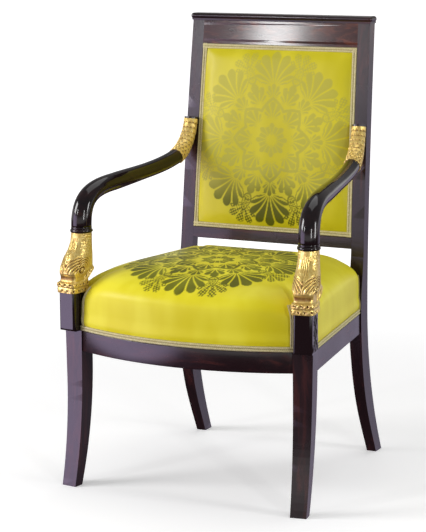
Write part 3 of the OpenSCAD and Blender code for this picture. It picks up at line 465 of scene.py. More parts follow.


# Ground colours of the silk, and of its pattern where it looks dark, middling and pale; the pale is
# painted sheen, high on the back
SEAT_SILK = (srgb(225, 213, 34), srgb(235, 226, 58))
# The back's ground is the seat's silk made darker: painted shade
BACK_SILK_SHADED = (srgb(196, 186, 26), srgb(210, 200, 46))
OLIVE_DARK = srgb(78, 82, 8)
OLIVE_MID = srgb(118, 120, 16)
OLIVE_SHEEN_PAINTED = srgb(168, 164, 72)


def silk(name, ground_colors, place=None):
    """Satin with a fine weave. place says where its pattern lies: on the back, the seat or nowhere."""
    paint = Paint(name)
    x, _, z = paint.axes()
    cloud = paint.noise(9, 2, 0.5, (1.6, 1.6, 0.5))
    color = paint.blend(cloud.fade(0.35, 0.7), *ground_colors)
    threads = (x * 7.5).sin() * 0.5 + paint.noise(500, 2, 0.5)
    if place is None:
        rough = cloud.fade(0.3, 0.7, 0.38, 0.46)
    else:
        mask = paint.attribute("woven_pattern")
        if place == "seat":
            figure = paint.blend(cloud.fade(0.3, 0.7), OLIVE_DARK, OLIVE_MID)
            share = mask * 0.95
        else:
            # On the back the figure runs from dark olive low down to pale and fainter higher up:
            # painted sheen standing for the satin's reflection
            height = z + cloud * 60
            low = paint.blend(height.fade(560, 625), OLIVE_DARK, OLIVE_MID)
            figure = paint.blend(height.fade(590, 660), low, OLIVE_SHEEN_PAINTED)
            share = mask * height.fade(580, 690, 0.95, 0.6)
        color = paint.blend(share, color, figure)
        rough = mask.fade(0.0, 1.0, 0.36, 0.5)
        threads = threads + mask * 0.5
    paint.bump(threads, 0.1, 0.25)
    paint.set(Base_Color=color, Roughness=rough)
    paint.set(Sheen_Weight=0.05, Sheen_Roughness=0.35, Specular_IOR_Level=0.22)
    return paint.material


def braid_silk():
    """Pale straw gimp: the ribs are in the mesh, the threads are here. It is darker in the grooves
    between the cords, which is painted shade.
    """
    paint = Paint("gimp_braid")
    slub = paint.noise(260, 3, 0.6)
    base = paint.ramp(slub, (0.3, srgb(190, 180, 116)), (0.7, srgb(222, 214, 164)))
    # Darker where the braid lies deep between its cords: painted shade
    depth = paint.attribute("carved_depth").fade(0.2, 1.0)
    paint.bump(slub, 0.3, 0.3)
    paint.set(Base_Color=paint.blend(depth, base, srgb(150, 136, 72)), Roughness=0.6, Sheen_Weight=0.3)
    return paint.material


wood_upright = mahogany("mahogany_upright", UPRIGHT)
wood_across = mahogany("mahogany_across", ACROSS)
wood_backward = mahogany("mahogany_backward", BACKWARD)
wood_leg = mahogany("mahogany_leg", UPRIGHT, coat=0.45, black_above=SHOULDER)
wood_tablet = mahogany(
    "mahogany_tablet", TABLET_GRAIN, TABLET_TONES, coat=0.7, specular=0.1, ripple=5.0
)
ebony = ebonised_wood()
beech_across = plain_wood("beech_across", (0.8, 5.0, 5.0))
beech_upright = plain_wood("beech_upright", (5.0, 5.0, 0.8))
gilt = gilding()
steel = screw_steel()
webbing = woven("webbing_jute", 3.0, srgb(186, 160, 112), srgb(120, 98, 62), 0.6)
hessian = woven("hessian", 2.2, srgb(198, 176, 128), srgb(128, 106, 70), 0.5)
silk_seat = silk("silk_damask_seat", SEAT_SILK, "seat")
# The back's silks take the darker ground, which is painted shade
silk_back = silk("silk_damask_back", BACK_SILK_SHADED, "back")
silk_plain = silk("silk_plain", BACK_SILK_SHADED)
gimp = braid_silk()


def pair(name):
    return [f"{name}_left", f"{name}_right"]


# CAD pieces that keep their own form: material, radius of the arrises, and names
LEG_ARRIS = 1.6
POST_ARRIS = 1.0
RAIL_ARRIS = 0.8
TABLET_ARRIS = 0.6
FINISHES = [
    (wood_leg, LEG_ARRIS, pair("front_leg")),
    (wood_upright, POST_ARRIS, pair("rear_post")),
    (wood_backward, RAIL_ARRIS, pair("side_rail")),
    (wood_across, RAIL_ARRIS, ["front_rail", "rear_rail", "back_lower_rail"]),
    (wood_tablet, TABLET_ARRIS, ["back_tablet"]),
    (beech_across, RAIL_ARRIS, pair("corner_block_front") + pair("corner_block_rear")),
    (wood_across, 0, pair("tail_plate") + ["back_cap"]),
    (wood_upright, 0, ["screw_plugs"]),
    (beech_upright, 0, ["neck_dowels", "block_dowels", "tail_dowels", "cap_dowels"]),
    (beech_upright, 0, ["slip_frame_uprights"]),
    (beech_across, 0, ["slip_frame_bars"]),
    (steel, 0, ["corner_screws", "arm_screws", "slip_frame_screws"]),
    (webbing, 0, ["back_webbing_upright", "back_webbing_across"]),
]


def finish_node(name, material, radius):
    """Gives a CAD node its material and, with modifiers, small rounded arrises."""
    piece = nodes[name]
    piece.data.materials.clear()
    piece.data.materials.append(material)
    if radius:
        weld = piece.modifiers.new("join", "WELD")
        weld.merge_threshold = 0.01 * MM
        bevel = piece.modifiers.new("arrises", "BEVEL")
        bevel.width = radius * MM
        bevel.segments = 3
        bevel.limit_method = "ANGLE"
        bevel.angle_limit = math.radians(35)


for material, radius, names in FINISHES:
    for name in names:
        finish_node(name, material, radius)


# Arms: cubics in a side frame, from start to end, and their inner points' shares of the way
CROOK_END = (110, 625.5)
TAIL_START = (ARM_RUN - 55, TAIL_Z)
CROOK = ((0, ARM_Z), CROOK_END, ((0, 0.71), (0.27, 0.945)))
REACH = (CROOK_END, TAIL_START, ((0.34, 0.25), (0.766, 0.38)))
TAIL = (TAIL_START, (ARM_RUN, TIP_Z), ((0.446, 0.12), (0.875, 0.49)))
NECK_D = 43
ELBOW_D = 37.5
WAIST_D = 33.5
TAIL_D = 34
ARM_SIDES = 56


def curve_at(curve, t):
    """Points and directions [v, z] of a cubic."""
    start, end, shares = [np.asarray(part, float) for part in curve]
    p1, p2 = [start + (end - start) * share for share in shares]
    t = np.asarray(t, float)[:, None]
    s = 1 - t
    point = s**3 * start + 3 * s**2 * t * p1 + 3 * s * t * t * p2 + t**3 * end
    way = s**2 * (p1 - start) + 2 * s * t * (p2 - p1) + t * t * (end - p2)
    return point, unit_rows(way)


def ring_angles(sides):
    return np.linspace(0, 2 * np.pi, sides, endpoint=False)[None, :]


def tube_rings(point, way, radii, sides):
    """Rings [u, v, z] round points of a side frame; radii is one number a ring or one a point."""
    angle = ring_angles(sides)
    radii = np.broadcast_to(np.asarray(radii, float).reshape(len(point), -1), (len(point), sides))
    u = radii * np.cos(angle)
    v = point[:, :1] + radii * np.sin(angle) * way[:, 1:]
    z = point[:, 1:] - radii * np.sin(angle) * way[:, :1]
    return np.stack([u, v, z], -1)


def collar_rings():
    """Turned collar: a bead on the head, a quirk, and the neck that runs into the arm."""
    bead_r, bead_h = 2.6, 3.5
    a = np.linspace(-1.35, 1.35, 15)
    bead = np.stack([21.3 + bead_r * np.cos(a), 3.9 + bead_h * np.sin(a)], -1)
    foot = [[20.0, 0], [21.6, 0.3]]
    neck = [[21.5, 7.7], [21.75, 8.2], [21.75, 11.0], [21.5, 12.0], [20.9, 12.2]]
    profile = np.vstack([foot, bead, neck])
    radius, height = profile[:, :1], profile[:, 1:]
    angle = ring_angles(ARM_SIDES)
    u = radius * np.cos(angle)
    return np.stack([u, radius * np.sin(angle), NECK_Z + height + 0 * u], -1)


def build_arms():
    t1 = np.linspace(0, 1, 48)
    t2 = np.linspace(0, 1, 56)[1:]
    p1, w1 = curve_at(CROOK, t1)
    p2, w2 = curve_at(REACH, t2)
    d1 = mix(NECK_D, ELBOW_D, smooth(t1))
    d2 = np.where(
        t2 < 0.5, mix(ELBOW_D, WAIST_D, smooth(2 * t2)), mix(WAIST_D, TAIL_D, 2 * t2 - 1)
    )
    radii = np.concatenate([d1, d2]) / 2
    arm = tube_rings(np.vstack([p1, p2]), np.vstack([w1, w2]), radii, ARM_SIDES)
    mesh = joined([loft(on_side(arm)), loft(on_side(collar_rings()))])
    both_sides("curved_arm", mesh, ebony, "ebonised", ["arm"])


# Carved scales: rows and scales a turn, on the tails and on the necks
TAIL_SCALES = (9.5, 12)
NECK_SCALES = (21, 22)
SCALE_H = 1.9
SCALE_EDGE = 0.12


def scale_heights(t, angle, rows, around):
    """Height of overlapping scales whose tips point towards t = 0, and how deep a point lies."""
    best = np.full(np.broadcast(t, angle).shape, 9.0)
    for shift in (-1, 0, 1, 2):
        row = np.floor(t * rows) + shift
        turn = angle / (2 * np.pi) * around + 0.5 * (row % 2)
        across = np.abs(turn - np.round(turn)) * 2
        tip = (row - 0.55 * np.sqrt(unit(1 - across**2)) + 0.1) / rows
        gone = (t - tip) * rows
        best = np.where((gone >= 0) & (gone < best), gone, best)
    return smooth(best / SCALE_EDGE) * (1 - unit(best - SCALE_EDGE) * 0.75), best


def build_tails():
    """The gilt tails: they start a little inside the arms, and a flat lies against the post."""
    sides, steps = 168, 190
    overlap, overlap_run = -0.035, 110
    t = np.linspace(overlap, 1, steps)
    point, way = curve_at(TAIL, unit(t))
    point[t < 0] += (t[t < 0] * overlap_run)[:, None] * way[t < 0]
    height, gone = scale_heights(t[:, None], ring_angles(sides), *TAIL_SCALES)
    base = mix(TAIL_D, TIP_D, smooth(t))[:, None] / 2
    carving = np.where(gone < 2, height * SCALE_H - 0.1, -0.6)
    radii = base + carving * smooth(unit(1.5 - gone) * 4)
    radii[-1] -= 0.8
    rings = on_side(tube_rings(point, way, radii, sides))
    rings[..., 1] = np.minimum(rings[..., 1], post_front_y(rings[..., 2]) - 0.2)
    # How deep a point lies between the scales: the gilding darkens there, as painted shade
    depth = unit(1 - height * 1.6)
    both_sides("scaled_tail", loft(rings), gilt, "gilt", ["arm_tail"], carved_depth=depth)


# Dolphin heads: z from the block's top, a in degrees from the front, arc the same in millimetres
HEAD_ARC_R = 23
HEAD_BACK = 43
LIP_LOW_Z = 5.0
LIP_GROOVE_Z = 11.4
LIP_HIGH_Z = 17.5
LIP_TOP_Z = 22.5
EYE_A = 68
EYE_Z = 47
BROW_A = 74
# Height share, then front, back and half width as shares of the block's, and squareness
HEAD_SHARES = np.array([
    [0.00, 1.19, -0.02, 0.60, 6.0],
    [0.17, 1.21, -0.02, 0.60, 6.0],
    [0.20, 1.08, 0.02, 0.53, 5.0],
    [0.26, 1.09, 0.14, 0.54, 4.5],
    [0.32, 1.14, 0.30, 0.58, 3.6],
    [0.38, 1.17, 0.42, 0.62, 3.0],
    [0.46, 1.11, 0.48, 0.63, 2.7],
    [0.60, 0.91, 0.50, 0.61, 2.5],
    [0.72, 0.67, 0.50, 0.57, 2.3],
    [0.85, 0.50, 0.50, 0.55, 2.1],
    [1.00, 0.45, 0.50, 0.545, 2.0],
])


def head_form(t, column):
    """A column of the table at heights t, with its corners eased above the lips."""
    # Softness in steps of a thousandth of the head's height
    softness = 18
    dense = np.linspace(-0.1, 1.1, 1201)
    values = np.interp(dense, HEAD_SHARES[:, 0], HEAD_SHARES[:, column])
    kernel = hump(np.arange(-60, 61), softness)
    eased = np.convolve(np.pad(values, 60, "edge"), kernel / kernel.sum(), "valid")
    keep = unit((dense - 0.20) / 0.05)
    return np.interp(t, dense, values * (1 - keep) + eased * keep)


def blurred(field, size):
    """A field on the wrapped grid of a head, smoothed over size points each way."""
    kernel = hump(np.arange(-3 * size, 3 * size + 1), size)
    kernel /= kernel.sum()
    wide = np.pad(field, ((3 * size, 3 * size), (0, 0)), "edge")
    wide = np.apply_along_axis(np.convolve, 0, wide, kernel, "valid")
    wide = np.pad(wide, ((0, 0), (3 * size, 3 * size)), "wrap")
    return np.apply_along_axis(np.convolve, 1, wide, kernel, "valid")


def box_share(x, low, high, soft):
    """1 between low and high, with soft edges."""
    return smooth((x - low) / soft + 0.5) * smooth((high - x) / soft + 0.5)


def lip_carving(z, a):
    """Two frilled rolls round the mouth, with drilled holes, and a groove between them."""
    frills, fine_frills, holes = 12, 26, 14
    turn = np.radians(a)
    frill = np.cos(turn * frills + 0.25 * z)
    fine = np.cos(turn * fine_frills - 0.4 * z)
    carving = (0.5 + 0.5 * frill + 0.55 * fine) * hump(z - LIP_HIGH_Z, 4.0)
    carving += (0.6 + 0.45 * frill - 0.3 * fine) * hump(z - LIP_LOW_Z, 3.8)
    for middle, height, start in ((LIP_HIGH_Z, 2.2, 0.4), (LIP_LOW_Z, 2.0, 3.3)):
        carving -= 2.0 * smooth(3 * np.cos(turn * holes + start) - 1.6) * hump(z - middle, height)
    return (carving - 0.8 * hump(z - LIP_GROOVE_Z, 1.3)) * fade(z, LIP_TOP_Z, LIP_TOP_Z - 1.2)


def plume_carving(z, arc):
    """Nested curved plumes on each side of the forehead, which meet in a valley."""
    mid_arc, mid_z, pitch = 21, 43, 4.3
    side = np.abs(arc)
    rho = np.hypot(side - mid_arc, (z - mid_z) * 0.82)
    ridge = 2 * (0.5 + 0.5 * np.cos(2 * np.pi * rho / pitch)) ** 1.8 - 0.8
    where = box_share(rho, 2.0, 27.5, 2.5) * fade(z, 38, 49) * fade(side, 27, 23)
    return (0.85 * ridge - 0.1) * where - 0.9 * hump(arc, 1.6) * box_share(z, 44, 78, 8)


def neck_carving(z, a, arc):
    """Fine scales round the neck, and a long leaf down its front."""
    scales_top = 115
    leaf_z, leaf_half_h, leaf_half_w = 93, 19, 9.5
    side = np.abs(arc)
    height, _ = scale_heights((scales_top - z) / scales_top, np.radians(a), *NECK_SCALES)
    scales = (0.75 * height - 0.5) * fade(z, 66, 76) * fade(side, 13, 18)
    leaf_edge = leaf_half_w * np.sqrt(unit(1 - ((z - leaf_z) / leaf_half_h) ** 2)) + 0.01
    leaf = unit(1 - (arc / leaf_edge) ** 2)
    veins = 0.5 * np.cos(arc * 1.9) * smooth(leaf * 3) + 0.6 * smooth(leaf * 2) * (leaf < 0.5)
    strokes = 0.4 * np.cos(arc * 1.5 + 0.03 * (z - 90) ** 2 / 4) * box_share(z, 76, 111, 6)
    return scales + (veins * 0.8 + strokes * 0.4) * fade(side, 15, 11) * fade(z, 72, 78)


def eye_carving(z, a):
    """An eye with a lid, set in a socket under a brow of curved ridges; and its pupil."""
    a_mm, ball_r, socket_r, lid_r = 0.42, 5.0, 6.2, 8.3
    side = np.abs(a)
    d = np.hypot((side - EYE_A) * a_mm, z - EYE_Z)
    ball = 2.6 * np.sqrt(unit(1 - (d / ball_r) ** 2))
    rings = 0.9 * hump(d - lid_r, 1.3) - 1.3 * hump(d - socket_r, 1.3)
    rho = np.hypot((side - BROW_A) * a_mm, (z - EYE_Z) * 0.8)
    where = box_share(rho, 9.5, 22, 2) * fade(z, EYE_Z, EYE_Z + 6) * box_share(side, 44, 118, 8)
    brow = (0.8 * np.cos(2 * np.pi * rho / 3.6) + 0.5) * where
    zone = box_share(side, 40, 104, 8) * box_share(z, 34, 74, 6)
    return (ball + rings + brow) * zone, fade(d, 2.1, 1.5)


def fin_carving(z, a):
    """A ribbed fin behind each cheek, which slants down and forwards to the lips."""
    off = np.abs(a) - mix(98, 140, (z - 9) / 39)
    where = hump(off, 13) * unit((53 - z) / 7) * unit((z - 21) / 8)
    return where * (5.0 + 0.8 * np.cos(off * 0.75))


def build_heads():
    rows, cols = 250, 320
    t = np.linspace(0, 1, rows)[:, None]
    angle = np.linspace(-np.pi, np.pi, cols, endpoint=False)[None, :] - np.pi / 2
    a = (np.degrees(angle) + 90 + 180) % 360 - 180 + 0 * t
    z = t * HEAD_H + 0 * a
    arc = np.radians(a) * HEAD_ARC_R
    front = head_form(t, 1) * BLOCK_D
    back = head_form(t, 2) * HEAD_BACK
    half_w = head_form(t, 3) * BLOCK_W
    square = head_form(t, 4)
    half_d = (front + back) / 2
    corner = np.abs(np.cos(angle) / half_w) ** square + np.abs(np.sin(angle) / half_d) ** square
    reach = corner ** (-1 / square)
    recess = -1.5 * box_share(np.abs(arc), -8, 14.5, 8) * hump(z - 31, 5.5)
    rim = 0.5 * hump(z - 40, 3) * box_share(np.abs(arc), -1, 16, 3)
    eyes, pupil = eye_carving(z, a)
    plumes = plume_carving(z, arc) * (1 - box_share(np.abs(a), 52, 104, 8))
    grooves = np.cos(np.radians(a) * 34) * 0.35 * box_share(z, 24, 44, 4) * fade(np.abs(a), 96, 104)
    carving = lip_carving(z, a) + recess + rim + eyes + plumes
    carving += neck_carving(z, a, arc) + fin_carving(z, a) + grooves
    carving *= fade(z, HEAD_H - 0.5, HEAD_H - 3.5)
    radius = reach + carving
    u = 1.7 * (1 - t) + radius * np.cos(angle)
    v = (back - front) / 2 + radius * np.sin(angle)
    mesh = loft(on_side(np.stack([u, v, BLOCK_TOP + z], -1)))
    # How deep a point lies in the carving and the recess above the lips, and a dark spot at each
    # pupil: the gilding darkens with it, painted shade in the hollows
    depth = unit((blurred(carving, 5) - carving) * 1.1 + 0.45 * unit(-recess) + pupil)
    both_sides("dolphin", mesh, gilt, "gilt", ["dolphin_head"], carved_depth=depth)


build_arms()
build_tails()
build_heads()


# Silk damask: the woven pattern is worked out at the points of a fine mesh
BACK_MID_Z = 695
SEAT_MID_Y = -80
FIGURE_SHARE = 1.08
PETALS = 8


def below(value, edge=0.0, soft=0.6):
    """1 where the value is under the edge, 0 over it."""
    return 1 - smooth((value - edge) / (2 * soft) + 0.5)


def folded(angle, shift=0.0):
    """An angle folded into one of the petals' equal sectors, measured from its middle."""
    sector = 2 * np.pi / PETALS
    return (np.mod(angle / sector + 0.5 + shift, 1) - 0.5) * sector


def palmette(x, y, size, wide, lobes, curl, gap):
    """A fan of drop-shaped lobes that open along y from the point (0, 0)."""
    rho = np.hypot(x, y)
    turn = np.arctan2(np.abs(x), y) / (1 + curl * rho / size)
    step = 2.9 / lobes
    across = np.mod(turn / step + 0.5 * (lobes % 2), 1) - 0.5
    oval = np.hypot(x / (wide * size), (y - 0.52 * size) / (0.48 * size))
    lobe = rho * step * (0.5 - np.abs(across)) - gap / 2
    return below(oval + 1.5 * across**2, 1.05, 0.02) * below(-lobe, 0, 0.5) * below(turn, 1.5, 0.03)


def bud(x, y, half_w, half_h):
    """An upright bud: a rim, and small scales inside it."""
    narrow = half_w * (1 - 0.45 * smooth(y / half_h * 0.5 + 0.5))
    ring = np.hypot(x / narrow, y / half_h)
    rim = below(ring, 1.0, 0.05) * (1 - below(ring, 0.8, 0.05))
    scales = below(-np.sin(x * 1.1 + y * 0.8) * np.sin(x * 1.1 - y * 0.8), -0.05, 0.12)
    return np.maximum(rim, below(ring, 0.72, 0.05) * scales)


def medallion(x, y):
    """The pattern round (0, 0): palmettes and buds in a ring, scrolls and a rosette inside."""
    x, y = x / FIGURE_SHARE, y / FIGURE_SHARE
    radius = np.hypot(x, y)
    angle = np.arctan2(x, y)
    petal, between = folded(angle), folded(angle, 0.5)
    px, py = radius * np.sin(petal), radius * np.cos(petal)
    bx, by = radius * np.sin(between), radius * np.cos(between)
    lace = below(-np.cos(0.9 * bx) * np.cos(0.8 * by), 0.25, 0.25)
    scroll = below(-np.sin(0.17 * radius + 9 * np.abs(petal)), -0.8, 0.08)
    vine = below(np.abs(radius - 124 - 9 * np.cos(16 * petal)), 1.5)
    parts = [
        palmette(px, py - 104, 70, 0.62, 13, 0.9, 2.0),
        palmette(px, py - 82, 30, 0.5, 9, 0.5, 1.4),
        palmette(px, py - 40, 36, 0.5, 9, 0.7, 1.8),
        palmette(px, py - 8, 26, 0.4, 5, 0.0, 1.4),
        palmette(bx, by - 141, 42, 0.72, 9, 0.9, 1.8) * lace,
        palmette(bx, by - 72, 46, 0.42, 9, 0.8, 1.9),
        bud(bx, by - 138, 12, 20),
        scroll * below(radius, 104) * below(-radius, -50),
        vine * below(-np.abs(px), -30),
    ]
    return np.maximum.reduce(parts)


# Soft forms
CLOTH = dict(
    quality=5, mass=0.3, tension_stiffness=30, compression_stiffness=30, shear_stiffness=10,
    bending_stiffness=2, use_pressure=True, uniform_pressure_force=4.0,
)
CLOTH_STEPS = 20
CLOTH_REACH = 5.0


def evaluated(piece):
    """The object with its modifiers applied, at the present step."""
    return piece.evaluated_get(bpy.context.evaluated_depsgraph_get())


def vertex_places(mesh):
    return np.array([v.co for v in mesh.vertices]) / MM


def puffed(name, form, points, voxel):
    """How far points near a closed form move when it is blown up as cloth."""
    ball = make_object(name, form, silk_plain)
    remesh = ball.modifiers.new("remesh", "REMESH")
    remesh.mode = "VOXEL"
    remesh.voxel_size = voxel * MM
    solid = bpy.data.meshes.new_from_object(evaluated(ball))
    ball.modifiers.clear()
    ball.data = solid
    start = vertex_places(solid)
    cloth = ball.modifiers.new("cloth", "CLOTH")
    for key, value in CLOTH.items():
        setattr(cloth.settings, key, value)
    cloth.settings.effector_weights.gravity = 0
    for step in range(1, CLOTH_STEPS + 1):
        scene.frame_set(step)
    moved = vertex_places(evaluated(ball).to_mesh()) - start
    tree = kdtree.KDTree(len(start))
    for index, place in enumerate(start):
        tree.insert(place, index)
    tree.balance()
    motion = np.zeros_like(points)
    for index, place in enumerate(points):
        near = tree.find_n(place, 5)
        weights = np.array([1 / (distance + 0.5) for _, _, distance in near])
        motion[index] = weights @ moved[[k for _, k, _ in near]] / weights.sum()
    length = np.linalg.norm(motion, axis=1, keepdims=True)
    bpy.data.objects.remove(ball)
    scene.frame_set(1)
    return motion * np.minimum(1, CLOTH_REACH / np.maximum(length, 1e-6))


# Side rails in plan, as in the part: from the leg's rear face to the post's front face
RAIL_SET = 2.5
SIDE_A = np.array(side_point(LEG_OUT - RAIL_SET, LEG_BACK))
SIDE_B = np.array([post_out_x(288) - RAIL_SET, post_front_y(RAIL_TOP)])
SIDE_L = np.linalg.norm(SIDE_B - SIDE_A)
SIDE_DIR = (SIDE_B - SIDE_A) / SIDE_L
SIDE_IN = np.array([-SIDE_DIR[1], SIDE_DIR[0]])
# The cushion: its notches round the blocks, its gaps to the wood, and its crown
NOTCH_U = -18.35
NOTCH_V = -4.45
NOTCH_FRONT_V = -35.5
NOTCH_X = side_point(NOTCH_U, NOTCH_FRONT_V)[0]
NOTCH_ALONG = NOTCH_V - LEG_BACK
FIT = 0.3
CROWN_MID = np.array([0, mix(BOW_FRONT, REAR_Y, 0.56)])
CROWN_TOP = [[*CROWN_MID, CROWN_H]]
HEM_RINGS = 5
WALL_FOOT = 344
WALL_HEIGHTS = [344.8, 347, 350, 354, 359, 366, 374, 383, 392, 399]
WALL_SHARES = [0, 0.12, 0.3, 0.65, 1]
WALL_BULGE = [-2.6, -1.4, -0.8, 0, -0.6]


def side_line(inset, along):
    return SIDE_A + SIDE_IN * inset + SIDE_DIR * along


def resampled(points, spacing):
    """The same open line with even steps close to spacing; its corners stay."""
    points = np.asarray(points, float)
    made = [points[0]]
    for a, b in zip(points[:-1], points[1:]):
        count = max(1, int(round(np.linalg.norm(b - a) / spacing)))
        made += [mix(a, b, k / count) for k in range(1, count + 1)]
    return np.array(made)


def closed_plan(half):
    return np.concatenate([half, half[-2:0:-1] * np.array([-1, 1])])


def seat_plans(spacing):
    """The cushion's plan with its notches round the blocks, and the same without them.

    The third result is 1 where the plan runs over a rail, and 0 beside the blocks and posts.
    """
    arc = [(x, bow_y(x)) for x in np.linspace(0, NOTCH_X, 60)]
    side = [side_line(0, NOTCH_ALONG), side_line(0, SIDE_L - FIT)]
    post_x = post_in_x(CROWN_H) - FIT
    rear = [(post_x, SIDE_B[1] - FIT), (post_x, REAR_Y), (0, REAR_Y)]
    runs = [(arc, 1), ([arc[-1], side_point(NOTCH_U, NOTCH_V), side[0]], 0), (side, 1)]
    runs += [([side[1]] + rear[:2], 0), (rear[1:], 1)]
    points = [[arc[0]]]
    flags = [1]
    for line, flag in runs:
        made = resampled(line, spacing)[1:]
        points.append(made)
        flags += [flag] * len(made)
    plain = resampled(arc + side + rear, 1.0)
    return closed_plan(np.concatenate(points)), closed_plan(plain), np.array(flags + flags[-2:0:-1])


def outward(plan):
    """Mitred outward normals of a closed plan."""
    edge = np.roll(plan, -1, 0) - plan
    normal = unit_rows(np.stack([edge[:, 1], -edge[:, 0]], 1))
    before = np.roll(normal, 1, 0)
    return (normal + before) / np.maximum(1 + (normal * before).sum(1, keepdims=True), 0.4)


def seat_rings():
    """Rings of the seat cushion: its hem behind the gimp, the walls, and over to the crown."""
    plan, plain, on_rail = seat_plans(2.4)
    out = outward(plan)
    way = plan - CROWN_MID
    plain_way = plain - CROWN_MID
    plain_turn = np.arctan2(plain_way[:, 1], plain_way[:, 0])
    order = np.argsort(plain_turn)
    plain_reach = np.hypot(*plain_way.T)[order]
    reach = np.hypot(*way.T)
    turn = np.arctan2(way[:, 1], way[:, 0])
    open_reach = np.interp(turn, plain_turn[order], plain_reach, period=2 * np.pi)
    open_share = np.maximum(open_reach, reach) / reach
    # The wall dips beside the blocks, over some degrees on each side
    dip, dip_spread = 23, 9
    dip_turn = math.atan2(NOTCH_V + NECK_Y - CROWN_MID[1], NECK_X - 18.05)
    off = np.degrees(np.arctan2(way[:, 1], np.abs(way[:, 0])) - dip_turn)
    wall = WALL_H - dip * hump(off, dip_spread)
    rings = []
    # Under side and hem: [inset, height], lifted over the legs where there is no rail
    hem = [(9, 346.3), (4.4, 343.2), (4.4, 332), (3.4, 332), (3.2, 342.9)]
    for step, (inset, height) in enumerate(hem):
        z = np.where(on_rail > 0, height, np.maximum(height, 343.0 + 0.05 * step))
        rings.append(np.column_stack([plan - out * inset, z]))
    for height in WALL_HEIGHTS:
        share = unit((height - WALL_FOOT) / (WALL_H - WALL_FOOT))
        bulge = np.interp(share, WALL_SHARES, WALL_BULGE)
        rings.append(np.column_stack([plan + out * bulge, mix(WALL_FOOT, wall, share)]))
    edge = plan + out * WALL_BULGE[-1] - CROWN_MID
    shares = 1 - np.linspace(0, 1, 122)[1:-1] ** 1.12
    for r in np.concatenate([[0.998, 0.993], shares[shares < 0.99]]):
        flat = CROWN_MID + edge * (r * mix(open_share, 1, r**12))[:, None]
        z = mix(wall, CROWN_H, (1 - r**2.8) ** 0.46)
        rings.append(np.column_stack([flat, z]))
    return np.array(rings)


def crowned(rings):
    """Rings closed by a fan up to the crown's top and a single face below."""
    rows, cols = rings.shape[:2]
    faces = grid_faces(rows, cols)
    last = (rows - 1) * cols
    faces += [[last + i, last + (i + 1) % cols, rows * cols] for i in range(cols)]
    faces.append(list(range(cols))[::-1])
    return np.concatenate([rings.reshape(-1, 3), CROWN_TOP]), faces


def build_seat():
    """The cushion; its result is the grid of points of the walls and the top."""
    rings = seat_rings()
    points, faces = crowned(rings)
    form = crowned(np.concatenate([rings[0:1], rings[HEM_RINGS::4]])[:, ::3])
    motion = puffed("seat_form", form, points, 6.0)
    free = smooth((points[:, 2] - 349) / 22)[:, None]
    points = points + motion * free * np.array([0.7, 0.7, 0.55])
    x, y, z = points.T
    pattern = medallion(x, SEAT_MID_Y - y) * fade(z, 418, 424)
    piece = add_piece(
        "seat_cushion", (points, faces), silk_seat, "satin",
        ["seat_cover", "seat_stuffing"], woven_pattern=pattern,
    )
    return points[:-1].reshape(rings.shape)[HEM_RINGS:]


def between_posts(a, b, inset, gap, near, far):
    """A slab on the slip frame; near and far are depths behind the posts' front faces."""
    z = mix(SLIP_LOW + inset, SLIP_HIGH - inset, (b + 1) / 2)
    x = a * (post_in_x(z) - gap)
    near, far = [np.stack([x, post_front_y(z) + depth, z], -1) for depth in (near, far)]
    return slab(near, far)


def build_back():
    """The pad between the posts: a flat margin under the gimp, and a shallow crown."""
    margin, crown, depth, flat_from = 2.3, -12.8, 4.6, 0.955
    across = np.concatenate([[-1, -0.972], np.linspace(-flat_from, flat_from, 197), [0.972, 1]])
    up = np.concatenate([[-1, -0.974], np.linspace(-0.96, 0.96, 231), [0.974, 1]])
    a, b = np.meshgrid(across, up)
    swell_a, swell_b = [1 - unit(np.abs(s) / flat_from) ** 4 for s in (a, b)]
    rise = np.sqrt(swell_a * swell_b)
    points, faces = between_posts(a, b, FIT, 0.4, mix(margin, crown, rise), depth)
    motion = puffed("back_form", (points, faces), points[: a.size], 5.0)
    points[: a.size] += motion * smooth(rise * 1.6).reshape(-1, 1) * np.array([0.5, 0.6, 0.5])
    pattern = medallion(points[:, 0], points[:, 2] - BACK_MID_Z)
    piece = add_piece(
        "back_pad", (points, faces), silk_back, "satin",
        ["back_cover", "back_stuffing"], woven_pattern=pattern,
    )


def build_back_outside():
    """The plain silk stretched over the back of the slip frame."""
    inner, outer, bulge, dent = 20.1, 21.2, 1.2, 0.5
    a, b = np.meshgrid(np.linspace(-1, 1, 41), np.linspace(-1, 1, 45))
    skin = outer + (bulge + dent * np.sin(a * 5 + b * 2)) * (1 - a**2) * (1 - b**2)
    mesh = between_posts(a, b, 0, FIT, inner, skin)
    piece = add_piece("back_outside_cover", mesh, silk_plain, "satin", ["back_outer_cover"])
    width = 2 * (post_in_x(mix(SLIP_LOW, SLIP_HIGH, 0.5)) - FIT) * MM


# Gimp
GIMP_Z = 336.5
GIMP_SET = 2.9
GIMP_T = 3.4
CORD_PITCH = 4.0
CORD_STEP = 0.65
POST_GAP = 0.5
UPRIGHT_CORD = (8, 2.0, 2.6)
UPRIGHT_FOOT_Z = 341


